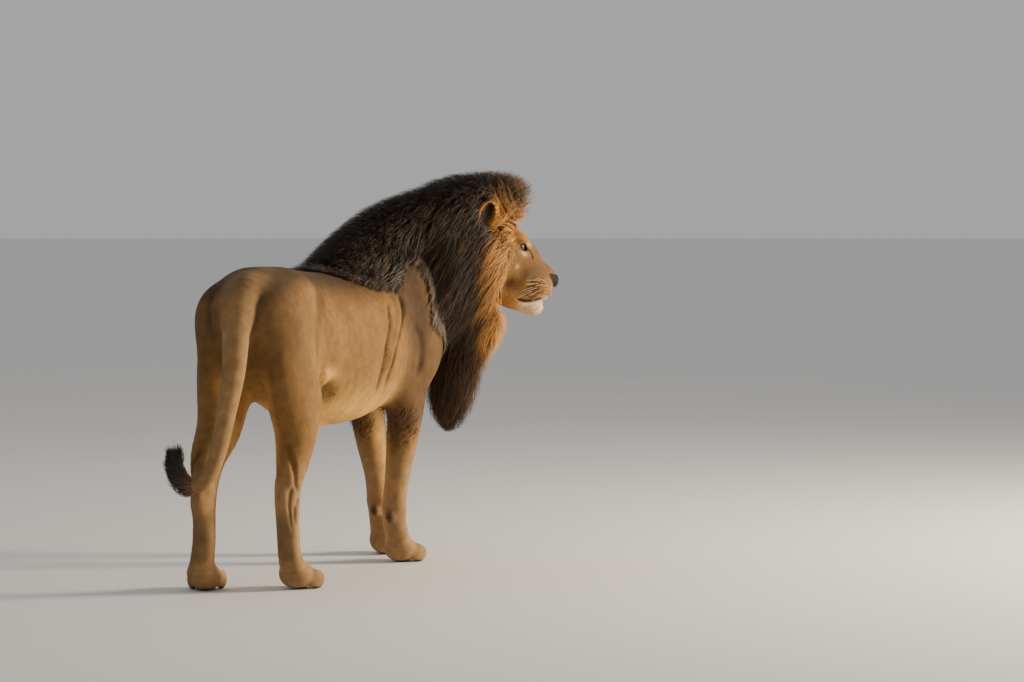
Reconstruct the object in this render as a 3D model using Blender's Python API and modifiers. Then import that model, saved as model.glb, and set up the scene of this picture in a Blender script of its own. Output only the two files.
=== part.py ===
"""A male lion, standing, its head turned to its right: a still, life-size museum model.

Metres, +Z up.  The lion faces -Y and stands on Z = 0, with its right side towards -X.
The whole animal is modelled as one form out to the tips of its coat, then parted with thin cuts
into the pieces a person would name.  The form is worked out in the lion's own coordinates
(x = its right, y = forwards, z = up) and turned and moved to its place at the end.
"""
import math

import bmesh
import bpy
import numpy as np
from mathutils import Matrix, Vector
from mathutils.bvhtree import BVHTree

# ---- driving dimensions, metres ---------------------------------------------------------------
CUT = 0.0004              # gap left by each parting cut
VOXEL = 0.013             # size of the first closed skin
TARGET = 3620             # triangles of the whole form
EYE_STEPS = (12, 8)


# ----------------------------------------------------------------------------------------------
# The lion's form.  Lion coordinates: x = its right, y = forwards, z = up, in metres, origin on
# the ground under the middle of the trunk.
# ----------------------------------------------------------------------------------------------
BACK_DEPTH = 0.006        # short coat on the body
HEAD_AT = np.array([0.288, 0.715, 1.066])   # middle of the cranium, at eye height
HEAD_YAW = -53.0          # degrees, turned to the lion's right
HEAD_PITCH = -13.0        # degrees, nose down
HEAD_SIZE = 1.07
PAWS = {                  # side, paw centre (x, y), toes turned out in degrees
    "fr": (0.118, 0.415, 22.0),
    "fl": (-0.030, 0.620, 4.0),
    "hr": (0.125, -0.420, 14.0),
    "hl": (-0.132, -0.560, -25.0),
}


HEEL_IN = {"hr": 0.0, "hl": 0.034}       # the heel lies this far inside the paw, which is turned out


def bend(y):
    """The spine curves to the lion's right from the loin to the shoulders."""
    t = np.maximum(np.asarray(y, float) + 0.30, 0.0)
    return 0.125 * t * t


def unit(v):
    v = np.asarray(v, float)
    return v / np.linalg.norm(v)


def rot(ax, deg):
    c, s = math.cos(math.radians(deg)), math.sin(math.radians(deg))
    return {"x": np.array([[1, 0, 0], [0, c, -s], [0, s, c]]),
            "y": np.array([[c, 0, s], [0, 1, 0], [-s, 0, c]]),
            "z": np.array([[c, -s, 0], [s, c, 0], [0, 0, 1]])}[ax]


HEAD_ROT = rot("z", HEAD_YAW) @ rot("x", HEAD_PITCH)


def head_point(p):
    """A point of the head's own frame (x right, y to the nose, z up) in lion coordinates."""
    return HEAD_AT + HEAD_ROT @ (np.asarray(p, float) * HEAD_SIZE)


def smin(a, b, k):
    h = np.maximum(k - np.abs(a - b), 0.0) / k
    return np.minimum(a, b) - h * h * k * 0.25


def smax(a, b, k):
    return -smin(-a, -b, k)


class Ball:
    """An ellipsoid: centre, half axes and a rotation whose columns are its axes."""

    def __init__(self, c, r, R=None):
        self.c, self.r = np.asarray(c, float), np.asarray(r, float) * np.ones(3)
        self.R = np.eye(3) if R is None else np.asarray(R, float)
        self.lo, self.hi = self.c - self.r.max(), self.c + self.r.max()

    def dist(self, p):
        q = (p - self.c) @ self.R
        k0 = np.sqrt(((q / self.r) ** 2).sum(1))
        k1 = np.sqrt(((q / self.r ** 2) ** 2).sum(1)) + 1e-9
        return k0 * (k0 - 1.0) / k1

    def frames(self):
        return [(self.c, self.R, self.r)]


class Sweep:
    """A limb: stations (x, y, z, side half-width, half-depth to the front/top, half-depth to the
    back/bottom) with a smooth curve through them, and elliptical sections square to the curve."""

    def __init__(self, stations, side=(1, 0, 0), steps=4):
        s = np.asarray(stations, float)
        n = len(s)
        ext = np.vstack([2 * s[0] - s[1], s, 2 * s[-1] - s[-2]])
        rows = []
        for i in range(n - 1):
            p0, p1, p2, p3 = ext[i:i + 4]
            for j in range(steps):
                t = j / steps
                rows.append(0.5 * (2 * p1 + (p2 - p0) * t + (2 * p0 - 5 * p1 + 4 * p2 - p3) * t * t
                                   + (3 * p1 - p0 - 3 * p2 + p3) * t ** 3))
        rows.append(s[-1])
        self.s = np.array(rows)
        self.pts, self.rad = self.s[:, :3], np.maximum(self.s[:, 3:6], 0.004)
        tan = np.gradient(self.pts, axis=0)
        self.tan = tan / np.linalg.norm(tan, axis=1)[:, None]
        side = unit(side)
        u = side - (self.tan @ side)[:, None] * self.tan
        self.u = u / np.linalg.norm(u, axis=1)[:, None]
        self.v = np.cross(self.u, self.tan)        # front of a leg, top of a neck
        m = self.rad.max()
        self.lo, self.hi = self.pts.min(0) - m, self.pts.max(0) + m

    def dist(self, p):
        best = np.full(len(p), 9.0)
        for i in range(len(self.pts) - 1):
            a, b = self.pts[i], self.pts[i + 1]
            ra, rb = self.rad[i], self.rad[i + 1]
            d = b - a
            q = p - a
            t = np.clip(q @ d / (d @ d), 0, 1)
            q = q - t[:, None] * d
            tn = unit(d)
            u = unit(self.u[i] + self.u[i + 1])
            u = unit(u - (u @ tn) * tn)
            v = np.cross(u, tn)
            qu, qv, qt = q @ u, q @ v, q @ tn
            r = ra + t[:, None] * (rb - ra)
            ru = r[:, 0]
            rv = np.where(qv > 0, r[:, 1], r[:, 2])
            rt = np.minimum(ru, np.minimum(r[:, 1], r[:, 2]))
            a2, b2, c2 = qu / ru, qv / rv, qt / rt
            k0 = np.sqrt(a2 * a2 + b2 * b2 + c2 * c2)
            k1 = np.sqrt((a2 / ru) ** 2 + (b2 / rv) ** 2 + (c2 / rt) ** 2) + 1e-9
            np.minimum(best, k0 * (k0 - 1.0) / k1, out=best)
        return best

    def frames(self):
        out = []
        for p, t, u, v, r in zip(self.pts, self.tan, self.u, self.v, self.rad):
            h = 0.5 * (r[1] - r[2])
            m = 0.5 * (r[1] + r[2])
            out.append((p + v * h, np.column_stack([u, t, v]), np.array([r[0], min(r[0], m), m])))
        return out


def tilt(*turns):
    R = np.eye(3)
    for ax, deg in turns:
        R = R @ rot(ax, deg)
    return R


def build_parts():
    """Every part as (shape, blend radius) in the order of joining."""
    parts = {}

    # ---- trunk: stations along the spine: y, top, middle, bottom, half-width
    spine = [(-0.605, 0.915, 0.860, 0.790, 0.070), (-0.560, 0.965, 0.862, 0.740, 0.118),
             (-0.460, 1.016, 0.850, 0.660, 0.160), (-0.320, 1.020, 0.815, 0.575, 0.170),
             (-0.170, 1.006, 0.775, 0.512, 0.192), (-0.030, 1.004, 0.760, 0.488, 0.215),
             (0.110, 1.014, 0.765, 0.492, 0.218), (0.240, 1.045, 0.785, 0.528, 0.203),
             (0.360, 1.068, 0.800, 0.572, 0.178), (0.460, 1.050, 0.805, 0.620, 0.145),
             (0.545, 0.985, 0.810, 0.680, 0.100)]
    trunk = [(Sweep([(bend(y), y, m, w, t - m, m - b) for y, t, m, b, w in spine]), 0.03)]
    for s in (-1, 1):
        trunk += [
            (Ball((0.072 * s, -0.415, 0.930), (0.072, 0.110, 0.072), tilt(("x", 8))), 0.06),     # hip
            (Ball((0.098 * s, -0.520, 0.830), (0.080, 0.095, 0.125), tilt(("x", 22))), 0.06),     # rump
            (Ball((bend(0.33) + 0.100 * s, 0.320, 0.905), (0.080, 0.125, 0.165), tilt(("x", -12))), 0.05),
            (Ball((bend(0.35) + 0.135 * s, 0.370, 0.740), (0.080, 0.125, 0.120)), 0.05),
        ]
    trunk.append((Ball((bend(0.38), 0.380, 0.985), (0.055, 0.150, 0.085)), 0.06))                 # withers
    for s in (-1, 1):
        trunk.append((Ball((0.023 * s, -0.588, 0.735), (0.029, 0.034, 0.044)), 0.015))
    trunk.append((Ball((bend(-0.10), -0.10, 0.500), (0.030, 0.075, 0.028)), 0.04))
    parts["trunk"] = trunk

    # ---- neck
    hx, hy, hz = HEAD_AT
    bx = float(bend(0.40))
    neck = [(bx - 0.010, 0.330, 0.870, 0.150, 0.175, 0.175), (bx + 0.035, 0.445, 0.905, 0.148, 0.170, 0.170),
            (bx + 0.110, 0.555, 0.960, 0.132, 0.145, 0.150), (bx + 0.175, 0.640, 1.010, 0.120, 0.120, 0.130),
            (hx, hy, hz - 0.005, 0.105, 0.090, 0.105)]
    parts["neck"] = [(Sweep(neck), 0.06)]

    # ---- tail
    path = [(0.008, -0.490, 0.940, 0.070), (0.018, -0.580, 0.935, 0.062), (0.026, -0.642, 0.885, 0.054),
            (0.031, -0.674, 0.800, 0.047), (0.031, -0.690, 0.690, 0.040), (0.020, -0.715, 0.577, 0.035),
            (0.000, -0.742, 0.440, 0.030), (-0.030, -0.760, 0.366, 0.027), (-0.066, -0.766, 0.346, 0.025),
            (-0.100, -0.768, 0.358, 0.023), (-0.122, -0.769, 0.386, 0.019), (-0.130, -0.769, 0.424, 0.013)]
    parts["tail"] = [(Sweep([(x, y, z, r, r, r) for x, y, z, r in path]), 0.035)]

    # ---- legs: stations from the body down: x, y, z, half-width, half-depth front, back
    for name, (px, py, turn) in PAWS.items():
        s = 1 if name[1] == "r" else -1
        if name[0] == "f":
            cx, sy = float(bend(0.36)), 0.350
            ox, ey = cx + (0.118 if s > 0 else -0.102), 0.35 * sy + 0.65 * py - 0.055   # shoulder, elbow
            wx, wy = px, py - 0.075                                   # wrist
            st = [(cx + 0.105 * s, sy - 0.020, 0.900, 0.050, 0.080, 0.100),
                  (ox, sy + 0.050, 0.750, 0.066, 0.085, 0.125),
                  (ox, 0.5 * (sy + ey), 0.620, 0.066, 0.082, 0.094),
                  (0.8 * ox + 0.2 * wx, ey, 0.520, 0.064, 0.073, 0.070),
                  (0.5 * (ox + wx), 0.6 * ey + 0.4 * wy, 0.400, 0.056, 0.060, 0.056),
                  (0.2 * ox + 0.8 * wx, 0.2 * ey + 0.8 * wy, 0.290, 0.046, 0.045, 0.044),
                  (wx, wy, 0.190, 0.045, 0.042, 0.042),
                  (0.9 * wx + 0.1 * px, wy + 0.016, 0.115, 0.044, 0.041, 0.038),
                  (px, py - 0.035, 0.058, 0.050, 0.046, 0.040)]
            leg = [(Sweep(st), 0.05),
                   (Ball((0.9 * ox + 0.1 * wx, ey - 0.055, 0.575), (0.045, 0.052, 0.075), tilt(("x", 20))), 0.05),
                   (Ball((wx, wy - 0.034, 0.162), (0.018, 0.016, 0.020)), 0.02)]
        else:
            hy0 = -0.455
            wx, wy = px + HEEL_IN[name], py - 0.085                   # hock
            st = [(0.092 * s, hy0 + 0.020, 0.850, 0.078, 0.110, 0.120),
                  (0.115 * s, hy0 - 0.005, 0.730, 0.076, 0.130, 0.130),
                  (0.122 * s, hy0 - 0.005, 0.615, 0.080, 0.116, 0.113),
                  (0.5 * (0.124 * s + wx), 0.5 * (hy0 + py) - 0.005, 0.515, 0.072, 0.092, 0.084),
                  (0.3 * 0.120 * s + 0.7 * wx, wy + 0.045, 0.425, 0.059, 0.068, 0.060),
                  (wx, wy + 0.010, 0.345, 0.047, 0.050, 0.048),
                  (wx, wy, 0.270, 0.043, 0.044, 0.046),
                  (wx, wy + 0.004, 0.180, 0.041, 0.040, 0.038),
                  (0.6 * wx + 0.4 * px, wy + 0.018, 0.105, 0.043, 0.040, 0.037),
                  (px, wy + 0.050, 0.058, 0.049, 0.046, 0.040)]
            leg = [(Sweep(st), 0.06),
                   (Ball((wx, wy - 0.034, 0.285), (0.019, 0.020, 0.036), tilt(("x", 12))), 0.03),
                   (Ball((0.13 * s, hy0 + 0.070, 0.590), (0.045, 0.065, 0.070)), 0.05)]
        T = rot("z", -turn)

        def paw(d):
            return np.array([px, py, 0.0]) + T @ np.asarray(d, float)

        leg.append((Ball(paw((0, -0.004, 0.042)), (0.053, 0.064, 0.044), T), 0.03))
        for dx, dy in ((-0.045, 0.028), (-0.0165, 0.050), (0.0165, 0.050), (0.045, 0.028)):
            leg.append((Ball(paw((dx, dy, 0.030)), (0.0205, 0.036, 0.033), T @ tilt(("z", -dx * 220))), 0.010))
        parts["leg_" + name] = leg

    # ---- head, in its own frame
    def hb(c, r, *turns):
        return Ball(head_point(c), np.asarray(r) * HEAD_SIZE, HEAD_ROT @ tilt(*turns))

    # stations along the skull: y, middle z, half-width, above, below
    skull = [(-0.110, 0.018, 0.058, 0.052, 0.070), (-0.060, 0.018, 0.086, 0.080, 0.090),
             (0.000, 0.014, 0.095, 0.092, 0.095), (0.055, 0.012, 0.084, 0.090, 0.090),
             (0.105, 0.006, 0.068, 0.078, 0.076), (0.142, -0.002, 0.055, 0.063, 0.064),
             (0.170, -0.012, 0.047, 0.045, 0.056), (0.196, -0.023, 0.044, 0.038, 0.054),
             (0.222, -0.036, 0.043, 0.037, 0.050), (0.246, -0.046, 0.035, 0.031, 0.036)]
    axis = []
    for y, m, w, t, b in skull:
        p = head_point((0, y, m))
        axis.append((p[0], p[1], p[2], w * HEAD_SIZE, t * HEAD_SIZE, b * HEAD_SIZE))
    head = [(Sweep(axis, side=HEAD_ROT[:, 0]), 0.02),
            (hb((0, 0.100, -0.112), (0.057, 0.118, 0.050)), 0.03),              # jaw
            (hb((0, 0.158, -0.128), (0.043, 0.060, 0.038)), 0.03),              # lower lip
            (hb((0, 0.206, -0.139), (0.036, 0.040, 0.033)), 0.022)]             # chin
    for s in (-1, 1):
        head += [(hb((0.070 * s, 0.048, -0.018), (0.046, 0.070, 0.058), ("z", 12 * s)), 0.04),     # cheek bone
                 (hb((0.066 * s, -0.005, -0.070), (0.046, 0.070, 0.070)), 0.04),                   # jaw muscle
                 (hb((0.036 * s, 0.150, -0.052), (0.035, 0.075, 0.046), ("z", 9 * s)), 0.03),      # side of the muzzle
                 (hb((0.034 * s, 0.206, -0.082), (0.037, 0.046, 0.042), ("z", -10 * s)), 0.018),   # whisker pad
                 (hb((0.043 * s, 0.103, 0.064), (0.027, 0.030, 0.0165), ("z", -22 * s), ("y", 22 * s)), 0.020),   # brow
                 (hb((0.0518 * s, 0.1052, 0.0350), (0.0245, 0.0245, 0.0215)), 0.014)]              # eyelids
    parts["head"] = head
    return parts


EYE_AT = (0.0530, 0.1065, 0.0350)      # in the head's frame, right eye
EYE_R = 0.0180
EAR_AT = (0.092, -0.040, 0.062)        # root of the right ear, head's frame


def ear_frame(s):
    """Origin at the ear's root and axes: across, out of its opening, up to its tip."""
    up = unit((0.46 * s, -0.10, 0.88))
    out = unit((0.80 * s, 0.60, 0.0))
    out = unit(out - (out @ up) * up)
    across = np.cross(out, up)
    return head_point((EAR_AT[0] * s, *EAR_AT[1:])), HEAD_ROT @ np.column_stack([across, out, up])


def part_dist(shapes, p, reach=0.16):
    d = np.full(len(p), 9.0)
    for shape, k in shapes:
        near = ((p > shape.lo - reach) & (p < shape.hi + reach)).all(1)
        if near.any():
            e = shape.dist(p[near])
            d[near] = smin(d[near], e, k)
    return d


JOIN = {"trunk": 0.0, "neck": 0.09, "tail": 0.035, "leg_fr": 0.055, "leg_fl": 0.055,
        "leg_hr": 0.040, "leg_hl": 0.040, "head": 0.05}


def body_dist(parts, p, each=False):
    """Signed distance to the flesh, and to each part if asked.  Each leg and the tail grow out of the
    trunk alone, so two limbs that stand close together stay apart."""
    found = {name: part_dist(shapes, p) for name, shapes in parts.items()}
    core = found["trunk"]
    core = smin(core, found["neck"], JOIN["neck"])
    core = smin(core, found["head"], JOIN["head"])
    d = core
    for name in ("tail", "leg_fr", "leg_fl", "leg_hr", "leg_hl"):
        d = np.minimum(d, smin(core, found[name], JOIN[name]))
    return (d, found) if each else d


# ---- the mane, as the outer shape of all its locks ---------------------------------------------
def mane_shapes():
    ruff = [(0.006, -0.055, 0.990, 0.050, 0.030, 0.040), (0.012, 0.020, 0.990, 0.100, 0.060, 0.060),
            (0.028, 0.110, 0.985, 0.135, 0.115, 0.090), (0.045, 0.220, 0.980, 0.165, 0.180, 0.120),
            (0.065, 0.330, 0.965, 0.182, 0.250, 0.170), (0.115, 0.450, 0.965, 0.200, 0.290, 0.235),
            (0.180, 0.565, 0.995, 0.212, 0.300, 0.300), (0.245, 0.655, 1.035, 0.215, 0.300, 0.320),
            (0.300, 0.720, 1.060, 0.205, 0.278, 0.310), (0.345, 0.755, 1.065, 0.190, 0.250, 0.290)]
    curtain = [(0.265, 0.700, 0.930, 0.170, 0.140, 0.150), (0.258, 0.708, 0.800, 0.160, 0.088, 0.150),
               (0.230, 0.692, 0.700, 0.145, 0.050, 0.140), (0.206, 0.672, 0.580, 0.112, 0.060, 0.110),
               (0.196, 0.662, 0.500, 0.080, 0.052, 0.075), (0.188, 0.655, 0.468, 0.040, 0.030, 0.036)]
    crest = Ball(head_point((0, 0.040, 0.170)), np.array([0.095, 0.078, 0.077]) * HEAD_SIZE, HEAD_ROT)
    return [(Sweep(ruff), 0.03), (Sweep(curtain, side=(0.819, -0.574, 0)), 0.05), (crest, 0.06)]


def ramp(x, a, b):
    t = np.clip((x - a) / (b - a), 0.0, 1.0)
    return t * t * (3 - 2 * t)


def head_frame(p):
    """Lion coordinates to the head's own frame."""
    return (p - HEAD_AT) @ HEAD_ROT / HEAD_SIZE


def mane_dist(shapes, p):
    """Signed distance to the outer shape of the mane: it stops short of the face."""
    d = part_dist(shapes, p)
    q = head_frame(p)
    front = 0.072 + 0.050 * ramp(q[:, 2], 0.045, 0.14) + 0.050 * ramp(-q[:, 2], 0.14, 0.24)
    d = smax(d, (q[:, 1] - front) * HEAD_SIZE, 0.03)
    for s in (-1, 1):                                   # it parts round each ear
        d = smax(d, -EAR_GAP[s].dist(p), 0.025)
        d = smax(d, -BARE_SHOULDER[s].dist(p), 0.020)   # and it leaves the shoulder blade bare
    return d


EAR_GAP = {s: Ball(head_point((0.195 * s, 0.050, 0.160)), np.array([0.125, 0.112, 0.105]) * HEAD_SIZE, HEAD_ROT)
           for s in (-1, 1)}
BARE_SHOULDER = {s: Ball((float(bend(0.28)) + 0.252 * s, 0.268, 0.870), (0.120, 0.088, 0.275), tilt(("x", -14)))
                 for s in (-1, 1)}
TUFT = [(Sweep([(-0.092, -0.767, 0.354, 0.024, 0.024, 0.024), (-0.120, -0.769, 0.382, 0.037, 0.037, 0.037),
                (-0.129, -0.769, 0.420, 0.038, 0.038, 0.038), (-0.125, -0.768, 0.460, 0.018, 0.018, 0.018)]), 0.01)]


def long_coat(p):
    """How far the coat stands beyond the short coat: withers, elbows, belly line and buttocks."""
    x, y, z = p[:, 0], p[:, 1], p[:, 2]
    cx = bend(y)
    withers = 0.026 * ramp(y, -0.09, 0.01) * ramp(0.42 - y, 0.0, 0.10) * ramp(z, 0.86, 0.94)
    elbow = 0.020 * np.exp(-(((y - 0.27) / 0.07) ** 2 + ((z - 0.47) / 0.07) ** 2)) * ramp(x - cx, 0.04, 0.10)
    elbow += 0.016 * np.exp(-(((y - 0.39) / 0.07) ** 2 + ((z - 0.47) / 0.07) ** 2)) * ramp(cx - x, 0.04, 0.10)
    return withers + elbow


def coat_dist(parts, mane, p):
    """Signed distance to the whole lion out to the tips of its coat, without the ears."""
    d = body_dist(parts, p) - long_coat(p)
    d = smin(d, mane_dist(mane, p), 0.02)
    return smin(d, part_dist(TUFT, p), 0.008)


EAR_BODY = (Ball((0, -0.004, 0.042), (0.056, 0.032, 0.062)), Ball((0, 0.027, 0.056), (0.042, 0.034, 0.051)))
GAZE = (0.68, 0.73, 0.02)              # the way each eyelid opening faces, right eye, head's frame


# ---- building tools -----------------------------------------------------------------------------
for o in list(bpy.data.objects):
    bpy.data.objects.remove(o)
for m in list(bpy.data.meshes):
    bpy.data.meshes.remove(m)

lion = bpy.data.collections.new("lion")
cutters = bpy.data.collections.new("cutters")
for c in (lion, cutters):
    bpy.context.scene.collection.children.link(c)
cutters.hide_render = True


def add(name, mesh, where=lion):
    ob = bpy.data.objects.new(name, mesh)
    where.objects.link(ob)
    if where is cutters:
        ob.hide_render = True
        ob.display_type = "WIRE"
    return ob


def to_mesh(name, bm):
    bmesh.ops.recalc_face_normals(bm, faces=bm.faces)
    me = bpy.data.meshes.new(name)
    bm.to_mesh(me)
    bm.free()
    return me


def applied(ob):
    """Applies the object's modifiers."""
    bpy.context.view_layer.update()
    me = bpy.data.meshes.new_from_object(ob.evaluated_get(bpy.context.evaluated_depsgraph_get()))
    old = ob.data
    ob.modifiers.clear()
    ob.data = me
    bpy.data.meshes.remove(old)
    return ob


def ellipsoid(bm, c, R, r, around=16, up=10):
    m = Matrix(np.vstack([np.column_stack([R @ np.diag(r), c]), [0, 0, 0, 1]]).tolist())
    bmesh.ops.create_uvsphere(bm, u_segments=around, v_segments=up, radius=1.0, matrix=m)


def limb(bm, sweep, around=16):
    """A lofted tube through the sweep's stations, closed by a rounded end at each station's end."""
    rings = []
    for p, u, v, r in zip(sweep.pts, sweep.u, sweep.v, sweep.rad):
        ring = []
        for i in range(around):
            a = 2 * math.pi * i / around
            s, c = math.sin(a), math.cos(a)
            ring.append(bm.verts.new((p + u * r[0] * s + v * c * (r[1] if c > 0 else r[2])).tolist()))
        rings.append(ring)
    for a, b in zip(rings, rings[1:]):
        for i in range(around):
            j = (i + 1) % around
            bm.faces.new((a[i], a[j], b[j], b[i]))
    bm.faces.new(rings[0])
    bm.faces.new(rings[-1][::-1])
    for c, R, r in (sweep.frames()[0], sweep.frames()[-1]):
        ellipsoid(bm, c, R, np.maximum(r, 0.006))


# ---- the whole form -----------------------------------------------------------------------------
parts = build_parts()
mane = mane_shapes()
bm = bmesh.new()
for shapes in list(parts.values()) + [mane, TUFT]:
    for shape, _ in shapes:
        if isinstance(shape, Ball):
            ellipsoid(bm, shape.c, shape.R, shape.r)
        else:
            limb(bm, shape)
form = add("form", to_mesh("form", bm))
skin = form.modifiers.new("one_skin", "REMESH")
skin.mode = "VOXEL"
skin.voxel_size = VOXEL
applied(form)

# The skin is drawn onto the blended form: the soft hollows between muscles, the mane's edge.
co = np.empty(len(form.data.vertices) * 3)
form.data.vertices.foreach_get("co", co)
co = co.reshape(-1, 3)


def whole(p):
    return coat_dist(parts, mane, p)


for _ in range(5):
    k = np.array([[1, -1, -1], [-1, -1, 1], [-1, 1, -1], [1, 1, 1]], float)
    g = sum(whole(co + 0.002 * v)[:, None] * v for v in k)
    g /= np.linalg.norm(g, axis=1)[:, None] + 1e-9
    co = co - g * np.clip(whole(co), -0.02, 0.02)[:, None]
form.data.vertices.foreach_set("co", co.reshape(-1))
form.data.update()
smooth = form.modifiers.new("even", "SMOOTH")
smooth.factor = 0.5
smooth.iterations = 2
applied(form)
thin = form.modifiers.new("facets", "DECIMATE")
thin.ratio = TARGET / (2 * len(form.data.polygons))
thin.use_collapse_triangulate = True
applied(form)

# The soles: small flats at one level.
bm = bmesh.new()
bm.from_mesh(form.data)
cut = bmesh.ops.bisect_plane(bm, geom=bm.verts[:] + bm.edges[:] + bm.faces[:], dist=1e-6,
                             plane_co=(0, 0, 0), plane_no=(0, 0, 1), clear_inner=True)
edges = [e for e in cut["geom_cut"] if isinstance(e, bmesh.types.BMEdge)]
bmesh.ops.holes_fill(bm, edges=edges, sides=0)
bmesh.ops.triangulate(bm, faces=[f for f in bm.faces if len(f.verts) > 3])
bmesh.ops.dissolve_degenerate(bm, dist=1e-5, edges=bm.edges[:])
bmesh.ops.triangulate(bm, faces=[f for f in bm.faces if len(f.verts) > 3])
form.data = to_mesh("form", bm)


# ---- cutters ------------------------------------------------------------------------------------
def slab(name, at, normal, wide, deep):
    """A thin flat cutter square to the normal."""
    n = Vector(normal).normalized()
    bm = bmesh.new()
    bmesh.ops.create_cube(bm, size=1.0)
    bmesh.ops.scale(bm, vec=(wide, deep, CUT), verts=bm.verts)
    turn = Matrix.Translation(Vector(at)) @ n.to_track_quat("Z", "Y").to_matrix().to_4x4()
    bmesh.ops.transform(bm, matrix=turn, verts=bm.verts)
    return add(name, to_mesh(name, bm), cutters)


def strip(name, line, half, place=None):
    """A thin bent cutter: a line in the y-z plane drawn out sideways, in the frame of place."""
    bm = bmesh.new()
    rows = []
    for y, z in line:
        ends = [np.array((s * half, y, z)) for s in (-1, 1)]
        rows.append([bm.verts.new((place(e) if place else e).tolist()) for e in ends])
    for a, b in zip(rows, rows[1:]):
        bm.faces.new((a[0], a[1], b[1], b[0]))
    me = bpy.data.meshes.new(name)
    bm.to_mesh(me)
    bm.free()
    ob = add(name, me, cutters)
    thick = ob.modifiers.new("thick", "SOLIDIFY")
    thick.thickness = CUT
    thick.offset = 0
    thick.use_even_offset = True
    return applied(ob)


def bowl(name):
    """The thin bowl that parts the head from the mane round it, open to the front."""
    bm = bmesh.new()
    rows = []
    for y, k in ((0.420, 1.00), (0.060, 1.00), (-0.050, 0.90), (-0.115, 0.62)):
        ring = []
        for i in range(14):
            a = 2 * math.pi * i / 14
            ring.append(bm.verts.new(head_point((0.128 * k * math.sin(a), y, -0.026 + 0.168 * k * math.cos(a))).tolist()))
        rows.append(ring)
    for a, b in zip(rows, rows[1:]):
        for i in range(14):
            j = (i + 1) % 14
            bm.faces.new((a[i], b[i], b[j], a[j]))
    bm.faces.new(rows[-1])
    bmesh.ops.recalc_face_normals(bm, faces=bm.faces)
    me = bpy.data.meshes.new(name)
    bm.to_mesh(me)
    bm.free()
    ob = add(name, me, cutters)
    thick = ob.modifiers.new("thick", "SOLIDIFY")
    thick.thickness = CUT
    thick.offset = 0
    return applied(ob)


def carve(ob, cutter):
    m = ob.modifiers.new("cut", "BOOLEAN")
    m.operation = "DIFFERENCE"
    m.solver = "EXACT"
    m.object = cutter
    return applied(ob)


def inside(tree, p):
    """True where a ray from p meets the closed surface an odd number of times."""
    d = Vector((0.137, 0.211, 0.968)).normalized()
    p, hits = Vector(p), 0
    while hits < 200:
        at, _, _, _ = tree.ray_cast(p, d)
        if at is None:
            return hits % 2 == 1
        hits += 1
        p = at + d * 1e-5
    return False


def pieces_of(ob):
    """Splits a mesh into its separate bodies."""
    bm = bmesh.new()
    bm.from_mesh(ob.data)
    bm.verts.ensure_lookup_table()
    seen, found = set(), []
    for v in bm.verts:
        if v in seen:
            continue
        stack, body = [v], set()
        seen.add(v)
        while stack:
            w = stack.pop()
            body.add(w)
            for e in w.link_edges:
                o = e.other_vert(w)
                if o not in seen:
                    seen.add(o)
                    stack.append(o)
        found.append(body)
    out = []
    for body in found:
        b = bmesh.new()
        new = {}
        for v in body:
            new[v] = b.verts.new(v.co)
        for f in {f for v in body for f in v.link_faces}:
            b.faces.new([new[v] for v in f.verts])
        out.append(b)
    bm.free()
    return out


def part_off(ob, cutter, name, at):
    """Cuts the object and makes the body that holds the point at a piece of its own."""
    carve(ob, cutter)
    bodies = pieces_of(ob)
    rest = bmesh.new()
    taken = None
    for b in bodies:
        if taken is None and inside(BVHTree.FromBMesh(b), at):
            taken = b
            continue
        if abs(b.calc_volume()) < 2e-8:
            b.free()
            continue
        me = bpy.data.meshes.new("rest")
        b.to_mesh(me)
        rest.from_mesh(me)
        bpy.data.meshes.remove(me)
        b.free()
    if taken is None:
        raise RuntimeError(name + ": no body holds its point")
    me = bpy.data.meshes.new(name)
    taken.to_mesh(me)
    taken.free()
    piece = add(name, me)
    me = bpy.data.meshes.new(ob.name)
    rest.to_mesh(me)
    rest.free()
    ob.data = me
    return piece


# ---- eyes and ears ------------------------------------------------------------------------------
made = {}
for s, side in ((1, "right"), (-1, "left")):
    e = head_point((EYE_AT[0] * s, *EYE_AT[1:]))
    for grow, where, name in ((0.0, lion, "eye_" + side), (CUT, cutters, "eye_pocket_" + side)):
        bm = bmesh.new()
        ellipsoid(bm, e, HEAD_ROT, np.full(3, EYE_R * HEAD_SIZE + grow), *EYE_STEPS)
        made[name] = add(name, to_mesh(name, bm), where)
    out = HEAD_ROT @ unit((GAZE[0] * s, GAZE[1], GAZE[2]))
    bm = bmesh.new()
    across = unit(np.cross(out, HEAD_ROT[:, 2]))
    up = np.cross(across, out)
    ellipsoid(bm, e + out * 0.020, np.column_stack([across, out, up]), np.array([0.0175, 0.013, 0.0097]), 12, 8)
    made["lids_" + side] = add("lids_" + side, to_mesh("lids_" + side, bm), cutters)

    o, R = ear_frame(s)
    for grow, where, name in ((0.0, lion, "ear_" + side), (CUT, cutters, "ear_pocket_" + side)):
        bm = bmesh.new()
        for body, cup in (EAR_BODY,):
            ellipsoid(bm, o + R @ body.c, R, body.r + grow, 16, 9)
        ear = add(name, to_mesh(name, bm), where)
        bm = bmesh.new()
        ellipsoid(bm, o + R @ EAR_BODY[1].c, R, EAR_BODY[1].r - grow, 12, 8)
        cup = add("cup_" + name, to_mesh("cup_" + name, bm), cutters)
        made[name] = carve(ear, cup)

for side in ("right", "left"):
    for name in ("ear_pocket_", "lids_", "eye_pocket_"):
        carve(form, made[name + side])

# ---- parting cuts -------------------------------------------------------------------------------
P = {}


def take(ob, cutter, name, at):
    P[name] = part_off(ob, cutter, name, at)


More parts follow.
